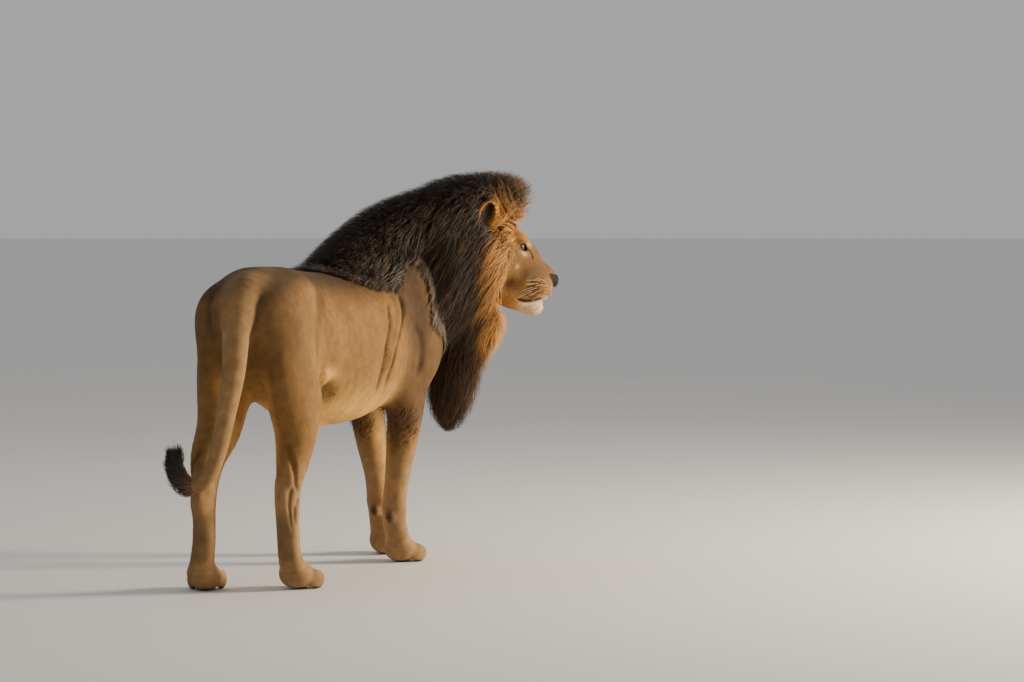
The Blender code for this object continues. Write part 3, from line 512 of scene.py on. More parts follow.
# ---- camera ------------------------------------------------------------------------------------
AIM = math.radians(21.5)
VIEW = np.array([-math.sin(AIM), math.cos(AIM)])
SIDE = np.array([math.cos(AIM), math.sin(AIM)])
eye2 = -(VIEW * 9.908 + SIDE * -0.6354)
cam_data = bpy.data.cameras.new("camera")
cam_data.sensor_width = 36.0
cam_data.lens = 105.54
cam_data.clip_end = 2000.0
camera = bpy.data.objects.new("camera", cam_data)
bpy.context.scene.collection.objects.link(camera)
camera.location = (CX - eye2[0], CY - eye2[1], 1.135)
PITCH = math.radians(2.12)
look = Vector((-VIEW[0] * math.cos(PITCH), -VIEW[1] * math.cos(PITCH), -math.sin(PITCH)))
camera.rotation_euler = look.to_track_quat("-Z", "Y").to_euler()
bpy.context.scene.camera = camera


# ----------------------------------------------------------------------------------------------
# The skin: one closed surface for the whole animal, a coat's depth inside the outline
# ----------------------------------------------------------------------------------------------
PARTS = build_parts()
MANE = mane_shapes()
EARS = {s: ear_frame(s) for s in (-1, 1)}


def inset(p, q):
    """How deep the skin lies under the short coat."""
    d = np.full(len(p), 0.0045)
    d -= 0.0020 * ramp(q[:, 1], 0.03, 0.10) * (np.abs(q[:, 0]) < 0.2) * (np.abs(q[:, 2]) < 0.3)
    return d - 0.0015 * ramp(-p[:, 2], -0.10, -0.05)


def eye_cut(q, s):
    """Distance to the almond between the lids of one eye, in the head's frame."""
    c = np.array([EYE_AT[0] * s, EYE_AT[1], EYE_AT[2]])
    g = unit((GAZE[0] * s, GAZE[1], GAZE[2]))
    a = unit(np.cross(g, (0, 0, 1.0))) * s              # across the eye, to the outer corner
    up = np.cross(a, g) * s
    a, up = a, up
    m = q - (c + g * 0.0200)
    u, w, t = m @ a, m @ g, m @ up
    # the inner corner dips towards the nose and the outer one rises a little
    t = t - 0.10 * u
    half = 0.0088
    k0 = np.sqrt((u / 0.0176) ** 2 + (w / 0.0135) ** 2 + (t / half) ** 2)
    k1 = np.sqrt((u / 0.0176 ** 2) ** 2 + (w / 0.0135 ** 2) ** 2 + (t / half ** 2) ** 2) + 1e-9
    return k0 * (k0 - 1.0) / k1 * HEAD_SIZE


def ear_dist(p, s):
    o, A = EARS[s]
    e = (p - o) @ A / HEAD_SIZE
    outer = EAR_BODY[0].dist(e) + 0.002
    cup = EAR_BODY[1].dist(e) - 0.001
    return smax(outer, -cup, 0.006) * HEAD_SIZE


def skin_dist(p):
    q = head_frame(p)
    d = body_dist(PARTS, p) + inset(p, q)
    near = (np.abs(q) < 0.32).all(1)
    if near.any():
        e, pn, qn = d[near], p[near], q[near]
        for s in (-1, 1):
            e = smin(e, ear_dist(pn, s), 0.022)
            e = smax(e, -eye_cut(qn, s), 0.0022)
            e = smax(e, -NOSTRIL[s].dist(pn), 0.003)
        d[near] = e
    return smax(d, 0.0005 - p[:, 2], 0.003)


NOSTRIL = {s: Ball(head_point((0.0185 * s, 0.2700, -0.0330)), np.array([0.0070, 0.0120, 0.0052]) * HEAD_SIZE,
                   HEAD_ROT @ tilt(("z", -34 * s), ("y", 28 * s))) for s in (-1, 1)}


def world_mesh(name, verts, faces, smooth=True):
    """A mesh from arrays, all faces with the same number of corners."""
    me = bpy.data.meshes.new(name)
    n = faces.shape[1]
    me.vertices.add(len(verts))
    me.vertices.foreach_set("co", np.ascontiguousarray(verts, np.float32).ravel())
    me.loops.add(faces.size)
    me.loops.foreach_set("vertex_index", np.ascontiguousarray(faces, np.int32).ravel())
    me.polygons.add(len(faces))
    me.polygons.foreach_set("loop_start", np.arange(len(faces), dtype=np.int32) * n)
    me.polygons.foreach_set("use_smooth", np.full(len(faces), smooth))
    me.update(calc_edges=True)
    return me


def coords(me):
    v = np.empty(len(me.vertices) * 3, np.float32)
    me.vertices.foreach_get("co", v)
    return v.reshape(-1, 3).astype(float)


def normals(me):
    v = np.empty(len(me.vertices) * 3, np.float32)
    me.vertices.foreach_get("normal", v)
    return v.reshape(-1, 3).astype(float)


import bmesh


def refine(bm, chosen):
    """Splits the chosen faces in four, and keeps the mesh closed round them."""
    edges = {e for f in chosen for e in f.edges}
    bmesh.ops.subdivide_edges(bm, edges=list(edges), cuts=1, use_grid_fill=True)


def refined(me, test):
    bm = bmesh.new()
    bm.from_mesh(me)
    bm.faces.ensure_lookup_table()
    c = np.array([f.calc_center_median() for f in bm.faces])
    keep = test(c)
    refine(bm, [f for f, k in zip(bm.faces, keep) if k])
    odd = [f for f in bm.faces if len(f.verts) > 4]
    if odd:
        bmesh.ops.triangulate(bm, faces=odd)
    bm.to_mesh(me)
    bm.free()
    return me


def settle(me, test=None, steps=3, most=0.006, e=0.0008):
    v = coords(me)
    keep = np.ones(len(v), bool) if test is None else test(v)
    v[keep] = project(skin_dist, v[keep], steps, most, e)
    me.vertices.foreach_set("co", v.astype(np.float32).ravel())
    me.update()
    return me


# Folds of the loose skin, each a line in the lion's frame on its right side: points, depth and width;
# each is mirrored onto the left side.  A negative depth stands out.
FOLDS = [
    ([(0.198, 0.102, 0.903), (0.215, 0.081, 0.864), (0.225, 0.072, 0.828), (0.229, 0.047, 0.789), (0.229, 0.033, 0.764),
      (0.222, 0.022, 0.698), (0.207, 0.025, 0.642), (0.181, 0.033, 0.592)], 0.0080, 0.010),
    ([(0.196, 0.147, 0.919), (0.209, 0.150, 0.896), (0.221, 0.145, 0.866), (0.229, 0.129, 0.830), (0.233, 0.104, 0.794),
      (0.232, 0.074, 0.752), (0.229, 0.057, 0.717), (0.211, 0.048, 0.651)], -0.0085, 0.015),
    ([(0.200, 0.181, 0.928), (0.218, 0.189, 0.891), (0.227, 0.177, 0.858), (0.233, 0.143, 0.820), (0.234, 0.116, 0.781),
      (0.229, 0.090, 0.716), (0.217, 0.082, 0.663), (0.196, 0.086, 0.600)], 0.0120, 0.010),
    ([(0.234, 0.227, 0.834), (0.245, 0.269, 0.782), (0.248, 0.279, 0.732), (0.240, 0.281, 0.681), (0.226, 0.271, 0.631)],
     0.0065, 0.015),
    ([(0.120, -0.246, 0.959), (0.155, -0.315, 0.913), (0.172, -0.352, 0.850), (0.180, -0.372, 0.788), (0.182, -0.372, 0.720)],
     0.0070, 0.024),
    ([(0.080, -0.585, 0.955), (0.088, -0.632, 0.903), (0.073, -0.647, 0.810), (0.070, -0.625, 0.750)], 0.0080, 0.013),
]
HEEL = [  # the same round each hock, measured from it
    ([(0.000, -0.006, 0.470), (0.006, -0.008, 0.452), (0.011, -0.007, 0.437), (0.022, -0.008, 0.409), (0.034, -0.014, 0.369),
      (0.037, -0.015, 0.338), (0.040, -0.004, 0.312)], 0.0100, 0.0085),
    ([(0.035, -0.019, 0.341), (0.029, -0.028, 0.326), (0.025, -0.034, 0.311), (0.023, -0.038, 0.277), (0.024, -0.028, 0.229),
      (0.027, -0.016, 0.181)], 0.0050, 0.0070),
    ([(0.040, -0.004, 0.300), (0.038, -0.008, 0.281), (0.034, -0.018, 0.266), (0.033, -0.016, 0.238), (0.032, -0.010, 0.196)],
     0.0060, 0.0070),
    ([(-0.034, -0.004, 0.450), (-0.040, -0.004, 0.400), (-0.036, -0.010, 0.340)], 0.0080, 0.0120),
]


def line_share(p, line, width):
    """1 on a line in space, fading to nothing beside it and towards its ends."""
    line = np.asarray(line, float)
    out = np.zeros(len(p))
    near = ((p > line.min(0) - 3 * width) & (p < line.max(0) + 3 * width)).all(1)
    if not near.any():
        return out
    q = p[near]
    best, at = np.full(len(q), 9.0), np.zeros(len(q))
    for i in range(len(line) - 1):
        a, b = line[i], line[i + 1]
        t = np.clip((q - a) @ (b - a) / ((b - a) @ (b - a)), 0, 1)
        d = np.linalg.norm(q - a - t[:, None] * (b - a), axis=1)
        closer = d < best
        best, at = np.where(closer, d, best), np.where(closer, i + t, at)
    n = len(line) - 1
    out[near] = np.exp(-(best / width) ** 2) * ramp(at, -0.15, 0.9) * ramp(n - at, -0.15, 0.9)
    return out


def folds(p):
    """(how far the folds press the skin in, how much painted shade darkens them)"""
    deep, dark = np.zeros(len(p)), np.zeros(len(p))
    m = p.copy()
    m[:, 0] = bend(p[:, 1]) + np.abs(p[:, 0] - bend(p[:, 1]))
    for line, depth, width in FOLDS:
        line = np.array(line)
        s = line_share(m, line, width)
        deep += depth * s
        dark = np.maximum(dark, s * (depth > 0))
    for name in ("hr", "hl"):
        px, py, _ = PAWS[name]
        s = 1 if name == "hr" else -1
        m = (p - np.array([px + HEEL_IN[name], py - 0.085, 0.0])) * np.array([s, 1, 1])
        for line, depth, width in HEEL:
            g = line_share(m, line, width)
            deep += depth * g
            dark = np.maximum(dark, g)
    return deep, dark


STEP = 0.0085
field, origin = band_field(skin_dist, (-0.32, -0.80, -0.03), (0.66, 1.10, 1.42), STEP, 4)
tick("field")
v, quads = surface_nets(field, origin, STEP)
flesh = world_mesh("skin", v, quads)


def on_head(c):
    q = head_frame(c)
    return ((np.abs(q[:, 0]) < 0.19) & (q[:, 1] > -0.075) & (q[:, 1] < 0.32) & (q[:, 2] > -0.22) & (q[:, 2] < 0.21))


def on_face(c):
    q = head_frame(c)
    return ((np.abs(q[:, 0]) < 0.17) & (q[:, 1] > -0.05) & (q[:, 1] < 0.32) & (q[:, 2] > -0.20) & (q[:, 2] < 0.20))


def on_detail(c):
    q = head_frame(c)
    near = (q[:, 1] > 0.225) & (np.abs(q[:, 0]) < 0.06) & (q[:, 2] > -0.13) & (q[:, 2] < 0.0)
    for s in (-1, 1):
        eye = np.array(EYE_AT) * (s, 1, 1)
        near |= ((q - eye) ** 2).sum(1) < 0.031 ** 2
    return near


settle(flesh, None, 2)
tick("body")
refined(flesh, lambda c: (folds(c)[1] > 0.02) & (c[:, 2] > 0.13) & ~on_head(c))
settle(flesh, lambda c: (folds(c)[1] > 0.01) & (c[:, 2] > 0.12), 2)
refined(flesh, lambda c: on_head(c) | (c[:, 2] < 0.115))
settle(flesh, lambda c: on_head(c) | (c[:, 2] < 0.12), 2)
refined(flesh, on_face)
settle(flesh, on_face, 2, 0.004)
def on_paws(c):
    return c[:, 2] < 0.078


refined(flesh, on_paws)
settle(flesh, lambda c: c[:, 2] < 0.080, 1, 0.004)
refined(flesh, on_detail)
settle(flesh, on_detail, 2, 0.003, 0.0004)
tick("head")


# ----------------------------------------------------------------------------------------------
# What every point of the coat is told: which part it lies on, the lie of its hair and its colour
# ----------------------------------------------------------------------------------------------
NAMES = ["trunk", "neck", "tail", "leg_fr", "leg_fl", "leg_hr", "leg_hl", "head"]
AXIS = {n: PARTS[n][0][0] for n in NAMES}
TOWARDS = {"trunk": -1, "neck": -1, "head": -1, "tail": 1, "leg_fr": 1, "leg_fl": 1, "leg_hr": 1, "leg_hl": 1}
rng = np.random.default_rng(190)


def waves(p, size, seed, octaves=2):
    """A smooth random field between about -1 and 1."""
    r = np.random.default_rng(seed)
    out = np.zeros(len(p))
    for o in range(octaves):
        for _ in range(5):
            k = r.normal(size=3)
            k *= 6.283 / (size / 1.9 ** o) / np.linalg.norm(k)
            out += np.sin(p @ k + r.uniform(0, 6.283)) * 0.45 / 1.7 ** o
    return out


def along(name, p):
    """Nearest station of a part's axis, the fraction of the way along it, and the angle round it."""
    s = AXIS[name]
    best, at, frac, ang = np.full(len(p), 9.0), np.zeros(len(p), int), np.zeros(len(p)), np.zeros(len(p))
    for i in range(len(s.pts) - 1):
        a, d = s.pts[i], s.pts[i + 1] - s.pts[i]
        q = p - a
        t = np.clip(q @ d / (d @ d), 0, 1)
        m = q - t[:, None] * d
        r = np.linalg.norm(m, axis=1)
        w = r < best
        best[w], at[w] = r[w], i
        frac[w] = (i + t[w]) / (len(s.pts) - 1)
        ang[w] = np.arctan2(m[w] @ s.v[i], m[w] @ s.u[i])
    return at, frac, ang


def shares(p):
    """How much each part owns each point."""
    found = np.column_stack([part_dist(PARTS[n], p, 0.20) for n in NAMES])
    w = np.exp(-(found - found.min(1)[:, None]) / 0.022)
    return w / w.sum(1)[:, None]


def lie(p, n, w):
    """The way the short hair lies, along the surface."""
    f = np.zeros((len(p), 3))
    for i, name in enumerate(NAMES):
        use = w[:, i] > 0.02
        if not use.any():
            continue
        at, _, _ = along(name, p[use])
        g = AXIS[name].tan[at] * TOWARDS[name]
        if name == "trunk":
            rump = ramp(-p[use, 1], 0.40, 0.58)[:, None]
            g = g * (1 - rump) + np.array([0, -0.25, -1.0]) * rump
            g = g + np.array([0, 0, -0.42]) * (1 - np.abs(n[use, 2:3]))
        if name == "neck":
            g = g + np.array([0, 0, -0.7])
        if name == "head":
            q = head_frame(p[use])
            back = np.column_stack([0.5 * q[:, 0] / 0.08, -np.ones(len(q)), 0.25 * np.sign(q[:, 2] + 0.03) * ramp(q[:, 1], 0.02, 0.10)])
            g = back @ HEAD_ROT.T
        f[use] += g * w[use, i:i + 1]
    f -= (f * n).sum(1)[:, None] * n
    return f / (np.linalg.norm(f, axis=1)[:, None] + 1e-9)


CELL = {"neck": (0.0, 0.5, 0.5, 0.5), "trunk": (0.5, 0.5, 0.5, 0.5), "head": (0.0, 0.0, 0.5, 0.5),
        "leg_fr": (0.5, 0.0, 0.165, 0.25), "leg_fl": (0.667, 0.0, 0.165, 0.25), "leg_hr": (0.833, 0.0, 0.165, 0.25),
        "leg_hl": (0.5, 0.25, 0.165, 0.25), "tail": (0.667, 0.25, 0.165, 0.25)}


def unwrap(p, w):
    """The place of each root on the skin laid flat: each part is slit along its underside."""
    uv = np.zeros((len(p), 2))
    own = w.argmax(1)
    for i, name in enumerate(NAMES):
        m = own == i
        if not m.any():
            continue
        _, frac, ang = along(name, p[m])
        x, y, a, b = CELL[name]
        turned = (ang / 6.2832 + 0.75) % 1.0
        uv[m, 0] = x + a * (0.03 + 0.94 * turned)
        uv[m, 1] = y + b * (0.03 + 0.94 * frac)
    return uv


def rgb(r, g, b):
    c = np.array([r, g, b], float) / 255.0
    return np.where(c <= 0.04045, c / 12.92, ((c + 0.055) / 1.055) ** 2.4)


def mix(c, d, t):
    t = np.clip(t, 0, 1)
    t = t[:, None] if np.ndim(t) else t
    return c * (1 - t) + d * t


# the second colour is the dark brown of the back and tail, also used for painted shade in folds, hollows and on parts
# turned from the light
TAWNY, DARK_COAT_AND_SHADE, PALE, CREAM = rgb(130, 95, 52), rgb(64, 48, 32), rgb(156, 116, 66), rgb(196, 148, 78)
SHANK, PAW, CHIN = rgb(160, 127, 88), rgb(140, 110, 76), rgb(238, 206, 158)
GOLD, AMBER, BROWN, BLACK = rgb(212, 148, 66), rgb(152, 99, 44), rgb(84, 57, 34), rgb(33, 24, 18)
# the second of these is the nose bridge's brown, also used for painted shade on the face
FACE, BRIDGE_AND_SHADE, WHITE, RIM = rgb(120, 86, 48), rgb(98, 74, 52), rgb(228, 198, 152), rgb(22, 17, 15)

MOUTH = np.array([(0.300, -0.090), (0.262, -0.094), (0.240, -0.100), (0.222, -0.108), (0.206, -0.118),
                  (0.190, -0.127), (0.166, -0.133), (0.148, -0.133), (0.136, -0.131)])       # y, z of the lips
TEAR = np.array([(0.120, 0.036), (0.134, 0.0345), (0.146, 0.030), (0.156, 0.021), (0.161, 0.008)])


def line_dist(q, line):
    """Distance, seen from the side of the head, to a line given by its y and z."""
    m = q[:, 1:]
    best = np.full(len(q), 9.0)
    for a, b in zip(line[:-1], line[1:]):
        d = b - a
        t = np.clip((m - a) @ d / (d @ d), 0, 1)
        best = np.minimum(best, np.linalg.norm(m - a - t[:, None] * d, axis=1))
    return best


def mouth_dist(q):
    return line_dist(q, MOUTH)


def tear_dist(q):
    x = np.abs(q[:, 0])
    return line_dist(q, TEAR) + np.maximum(0.020 - x, 0) * 0.6 + np.maximum(x - 0.060, 0)


def blob(q, c, r):
    """1 at the centre of an ellipsoid, fading to nothing at about twice its radius, on both sides."""
    m = q.copy()
    m[:, 0] = np.abs(m[:, 0])
    return np.exp(-(((m - np.array(c)) / np.array(r)) ** 2).sum(1))


def nose_pad(q):
    """1 on the bare leather of the nose."""
    x, y, z = np.abs(q[:, 0]), q[:, 1], q[:, 2]
    side = ramp(0.042 - x + 0.55 * np.minimum(z + 0.040, 0.0), -0.0015, 0.0025)
    back = 0.2300 + 0.55 * np.maximum(-0.036 - z, 0.0)
    top = -0.0235 - 0.10 * np.maximum(0.255 - y, 0.0)
    return side * ramp(y - back, -0.002, 0.003) * ramp(top - z, -0.0015, 0.002) * ramp(z + 0.0660, -0.001, 0.003)


def whisker_spots(q):
    out = np.zeros(len(q))
    for row in range(5):
        z = -0.056 - 0.0105 * row
        for k in range(6):
            y = 0.170 + 0.0125 * k + 0.004 * (row % 2)
            out = np.maximum(out, np.exp(-(((q[:, 1] - y) / 0.0028) ** 2 + ((q[:, 2] - z - 0.10 * (y - 0.2)) / 0.0020) ** 2)))
    return out * ramp(np.abs(q[:, 0]), 0.020, 0.030)


def face_colour(q):
    c = np.tile(FACE, (len(q), 1))
    up = ramp(q[:, 2], 0.045, 0.085)
    c = mix(c, GOLD, 0.70 * up + 0.55 * ramp(0.105 - q[:, 1], 0.0, 0.05) * (1 - up))
    c = mix(c, BRIDGE_AND_SHADE, 0.80 * np.exp(-(q[:, 0] / 0.024) ** 2) * ramp(q[:, 1], 0.12, 0.18) * ramp(q[:, 2], -0.03, -0.005))
    # painted shade in the furrow down the middle of the forehead
    c = mix(c, BRIDGE_AND_SHADE * 0.8, 0.45 * np.exp(-(q[:, 0] / 0.007) ** 2) * ramp(q[:, 2], 0.03, 0.06))
    # painted shade on the side of the muzzle, in a cool shadow tone, with the paler rim of the whisker pad before it
    c = mix(c, BRIDGE_AND_SHADE * np.array([0.72, 0.76, 0.84]), 0.85 * blob(q, (0.050, 0.168, -0.036), (0.034, 0.036, 0.030)))
    # painted shade below the eye and over the cheek and jaw
    c = mix(c, FACE * 0.62, 0.70 * blob(q, (0.070, 0.120, -0.010), (0.034, 0.030, 0.022)) + 0.55 * blob(q, (0.070, 0.105, -0.070), (0.040, 0.035, 0.040)))
    c = mix(c, WHITE, 0.60 * blob(q, (0.036, 0.138, 0.049), (0.014, 0.013, 0.0075)))
    c = mix(c, WHITE, 0.62 * blob(q, (0.058, 0.1200, 0.0155), (0.020, 0.016, 0.0075)))
    c = mix(c, WHITE, 0.35 * blob(q, (0.034, 0.108, 0.078), (0.012, 0.014, 0.007)))
    c = mix(c, WHITE, 0.26 * blob(q, (0.080, 0.106, -0.031), (0.024, 0.010, 0.008)))
    c = mix(c, GOLD * 1.12, 0.75 * blob(q, (0.040, 0.212, -0.080), (0.030, 0.030, 0.022)))
    c = mix(c, WHITE, 0.65 * blob(q, (0.022, 0.246, -0.082), (0.018, 0.016, 0.018)))
    c = mix(c, WHITE, 0.60 * blob(q, (0.044, 0.214, -0.104), (0.026, 0.030, 0.008)))
    chin = ramp(-line_up(q), 0.002, 0.010) * ramp(q[:, 1], 0.125, 0.175)
    c = mix(c, CHIN, 0.95 * chin)
    c = mix(c, CREAM, 0.50 * ramp(-q[:, 2], 0.10, 0.15) * (1 - chin))
    c = mix(c, RIM * 1.3, 0.80 * whisker_spots(q))
    # dark lines over and before the eye
    c = mix(c, RIM * 1.2, 0.90 * np.exp(-(tear_dist(q) / 0.0034) ** 2))
    c = mix(c, RIM * 1.4, 0.70 * blob(q, (0.058, 0.0960, 0.0515), (0.022, 0.018, 0.0034)))
    for s in (-1, 1):
        m = q[:, 0] * s > 0
        e = eye_cut(q[m], s) / HEAD_SIZE
        c[m] = mix(c[m], RIM, 1.0 - ramp(e, 0.0020, 0.0058))
    lip = 0.0010 + 0.0042 * ramp(0.208 - q[:, 1], 0.0, 0.03) * ramp(q[:, 1], 0.136, 0.156)
    c = mix(c, RIM, 0.92 * (1 - ramp(mouth_dist(q) - lip, -0.0030, 0.0036)) * (0.70 + 0.30 * ramp(0.215 - q[:, 1], 0.0, 0.02)))
    c = mix(c, RIM, 0.9 * np.exp(-(q[:, 0] / 0.0026) ** 2) * ramp(q[:, 1], 0.235, 0.24) * ramp(-q[:, 2], 0.055, 0.06) * ramp(q[:, 2], -0.10, -0.092))
    return mix(c, RIM * 0.9, nose_pad(q))


def line_up(q):
    """How far a point lies above the line of the lips."""
    y = q[:, 1]
    return q[:, 2] - np.interp(y, MOUTH[::-1, 0], MOUTH[::-1, 1])


def ear_colour(p, c):
    for s in (-1, 1):
        o, A = EARS[s]
        e = (p - o) @ A / HEAD_SIZE
        on = ramp(0.011 - ear_dist(p, s), 0.0, 0.006) * ramp(e[:, 2], 0.006, 0.022)
        rimmed = np.sqrt((e[:, 0] / 0.056) ** 2 + ((e[:, 2] - 0.042) / 0.062) ** 2)
        back = mix(np.tile(RIM * 0.9, (len(p), 1)), AMBER, 0.5 * ramp(rimmed, 0.97, 1.03))
        low = np.sqrt((e[:, 0] / 0.030) ** 2 + ((e[:, 2] - 0.026) / 0.032) ** 2)
        # the deep of the cup is painted near black: painted shade in the hollow of the ear
        front = mix(np.tile(BLACK * 1.1, (len(p), 1)), AMBER * 1.15, ramp(low, 0.45, 0.95))
        front = mix(front, GOLD * 1.15, ramp(rimmed, 0.72, 0.90))
        c = mix(c, mix(back, front, ramp(e[:, 1], 0.001, 0.009)), on)
    return c


def skin_colour(p, n, w):
    """The short coat's colour, the same for the skin and for the tufts rooted in it."""
    q = head_frame(p)
    x, y, z = p[:, 0], p[:, 1], p[:, 2]
    trunk, neck, tail, head = w[:, 0], w[:, 1], w[:, 2], w[:, 7]
    legs = w[:, 3:7].sum(1)
    side = np.sign(x - bend(y))
    c = np.tile(TAWNY, (len(p), 1))
    # darker on the up-facing top of the back and neck: partly the darker coat along the spine, partly painted shade on
    # tops turned away from the low light
    c = mix(c, DARK_COAT_AND_SHADE, 0.92 * ramp(n[:, 2], 0.15, 0.85) * ramp(z, 0.84, 0.97) * (trunk + neck + 0.4 * tail))
    # painted shade on the rump and the backs of the thighs, turned from the light
    c = mix(c, DARK_COAT_AND_SHADE, 0.50 * ramp(-y, 0.40, 0.60) * ramp(z, 0.50, 0.85) * (trunk + w[:, 5] + w[:, 6]))
    c = mix(c, SHANK, 0.55 * tail)
    c = mix(c, CREAM, 0.95 * ramp(-n[:, 2], 0.10, 0.75) * ramp(0.72 - z, 0.0, 0.20) * trunk)
    c = mix(c, CREAM, 0.55 * ramp(0.62 - z, 0.0, 0.10) * ramp(z, 0.44, 0.50) * ramp(y, -0.34, -0.26) * ramp(0.05 - y, 0, 0.2) * trunk)
    inner = ramp(-n[:, 0] * side, 0.15, 0.8)
    c = mix(c, CREAM, 0.80 * inner * ramp(0.78 - z, 0, 0.15) * np.maximum(legs, 0.6 * trunk * ramp(-y, 0.35, 0.5)))
    c = mix(c, SHANK, 0.60 * ramp(0.46 - z, 0.0, 0.16) * legs)
    c = mix(c, CREAM, 0.35 * ramp(n[:, 1], 0.2, 0.9) * ramp(0.45 - z, 0.0, 0.15) * (w[:, 3] + w[:, 4]))
    # painted shade on the backs of the hind shanks, turned from the light
    c = mix(c, DARK_COAT_AND_SHADE, 0.45 * ramp(-n[:, 1], 0.3, 0.9) * ramp(0.30 - z, 0.0, 0.10) * ramp(z, 0.05, 0.12) * (w[:, 5] + w[:, 6]))
    c = mix(c, PAW, 0.55 * ramp(0.07 - z, 0.0, 0.03) * legs)
    _, ft, _ = along("tail", p)
    c = mix(c, DARK_COAT_AND_SHADE * 1.2, 0.35 * ramp(ft, 0.45, 0.80) * tail)
    c = mix(c, BLACK, ramp(ft, 0.86, 0.93) * tail)
    # paler on the loose fold of the flank: cream like the belly, and a painted highlight on the raised fold
    c = mix(c, CREAM * 1.05, 0.80 * flank_fold(p))
    # painted shade in the hollow before the thigh
    c = mix(c, DARK_COAT_AND_SHADE * 0.5, 0.92 * flank_hollow(p))
    # painted shade in the creases of the folds and round the hocks
    c = mix(c, DARK_COAT_AND_SHADE * 0.8, 0.62 * folds(p)[1])
    # paler along the raised fold in front of the thigh: cream like the belly, and a painted highlight on the ridge
    c = mix(c, CREAM, 0.75 * np.exp(-((y + 0.275 + 0.35 * (z - 0.62)) / 0.022) ** 2) * ramp(0.70 - z, 0.0, 0.05) * ramp(z, 0.46, 0.54) * (1 - legs))
    # the shoulder blade is greyer where the mane leaves it bare
    blade = np.exp(-(((y - 0.27) / 0.10) ** 2 + ((z - 0.90) / 0.22) ** 2) ** 2)
    c = mix(c, DARK_COAT_AND_SHADE * 0.85, 0.90 * blade)
    c = mix(c, DARK_COAT_AND_SHADE * 1.05, 0.70 * ramp(y, 0.16, 0.26) * ramp(z, 0.42, 0.52) * ramp(0.95 - z, 0, 0.1) * (1 - blade))
    # the carpal pads and the soles
    pads = np.zeros(len(p))
    for name in ("fr", "fl"):
        px, py, _ = PAWS[name]
        pads = np.maximum(pads, np.exp(-((x - px) / 0.017) ** 2 - ((y - (py - 0.114)) / 0.020) ** 2 - ((z - 0.162) / 0.019) ** 2))
    c = mix(c, RIM * 1.5, 0.95 * pads)
    # painted shade in the partings between the toes
    c = mix(c, DARK_COAT_AND_SHADE * 0.6, 0.75 * toe_lines(p, w))
    c = mix(c, RIM * 1.5, 0.9 * ramp(0.010 - z, 0.0, 0.004) * ramp(-n[:, 2], 0.2, 0.6))
    mottle = 1.0 + 0.085 * waves(p, 0.11, 5) + 0.060 * waves(p * np.array([1, 1, 0.6]), 0.030, 6)
    c = c * mottle[:, None]
    f = face_colour(q)
    f = f * (1.0 + 0.05 * waves(p, 0.02, 7))[:, None]
    c = mix(c, f, ramp(head, 0.3, 0.6) * ramp(q[:, 1], -0.10, 0.0))
    # under the mane the short coat is darkened: the colour of the mane's dark roots, and painted shade under the locks
    under = ramp(-mane_dist(MANE, p), 0.010, 0.045)
    c = mix(c, BROWN * 0.55, under * ramp(0.075 - q[:, 1], 0.0, 0.02))
    return ear_colour(p, c)


def mane_colour(p, t, r):
    """A lock's colour from its root's place, the way along it t and its own random number r."""
    q = head_frame(p)
    gold = ramp(q[:, 1] - 0.26 * np.maximum(-q[:, 2], 0) + 0.014 * waves(p, 0.09, 21), -0.062, 0.012)
    gold *= (1.0 - 0.90 * ramp(-q[:, 2], 0.25, 0.33)) * (1.0 - 0.75 * ramp(q[:, 2], 0.12, 0.185))
    front = ramp(q[:, 1], -0.10, 0.06) * ramp(-q[:, 2], 0.12, 0.26)
    dark = mix(np.tile(BLACK, (len(p), 1)), BROWN, np.clip(0.12 + 0.55 * (r - 0.55) + 0.16 * waves(p, 0.07, 22), 0, 0.8))
    # browner at the front below the head: painted sunlight on the front of the chest's mane
    dark = mix(dark, BROWN * 0.85, 0.60 * front)
    far = ramp(-0.22 - q[:, 1], 0.0, 0.12)
    dark = dark * (1.0 - 0.28 * far)[:, None]
    light = mix(np.tile(GOLD, (len(p), 1)), AMBER, np.clip(0.30 + 0.9 * (r - 0.5) + 0.25 * waves(p, 0.05, 23), 0, 1))
    c = mix(dark, light, np.clip(gold + 0.25 * (r - 0.5), 0, 1))
    crest = ramp(q[:, 2], 0.10, 0.18)
    c = mix(c, BLACK * 1.3, 0.72 * t * crest)
    c = mix(c, GOLD, 0.25 * t * gold * (1 - crest))
    # each lock darker towards its root: painted shade deep in the mane, with a random tone per lock
    return c * (0.72 + 0.32 * t + 0.26 * (r - 0.5))[:, None]


def flank_hollow(p):
    """1 in the hollow before the thigh, under the fold of the flank."""
    a = np.abs(p[:, 0] - bend(p[:, 1]))
    u = (p[:, 1] + 0.245) / 0.058
    v = (p[:, 2] - 0.604 + 0.25 * (p[:, 1] + 0.245)) / 0.036
    return np.exp(-(u * u + v * v) ** 1.3) * ramp(a, 0.05, 0.10)


def flank_fold(p):
    """1 on the loose skin over that hollow."""
    a = np.abs(p[:, 0] - bend(p[:, 1]))
    return np.exp(-((p[:, 1] + 0.275) / 0.050) ** 2 - ((p[:, 2] - 0.670) / 0.024) ** 2) * ramp(a, 0.07, 0.12)


def toe_lines(p, w):
    """1 where the toes part."""
    out = np.zeros(len(p))
    for name in PAWS:
        px, py, turned = PAWS[name]
        own = w[:, NAMES.index("leg_" + name)] * ramp(0.072 - p[:, 2], 0, 0.018)
        f = (p - np.array([px, py, 0.0])) @ rot("z", -turned)
        for gx in (-0.031, 0.0, 0.031):
            at = gx * (0.80 + 3.0 * np.clip(f[:, 1], 0, 0.07))
            out = np.maximum(out, np.exp(-((f[:, 0] - at) / 0.0040) ** 2) * ramp(f[:, 1], 0.000, 0.024) * own)
    return out


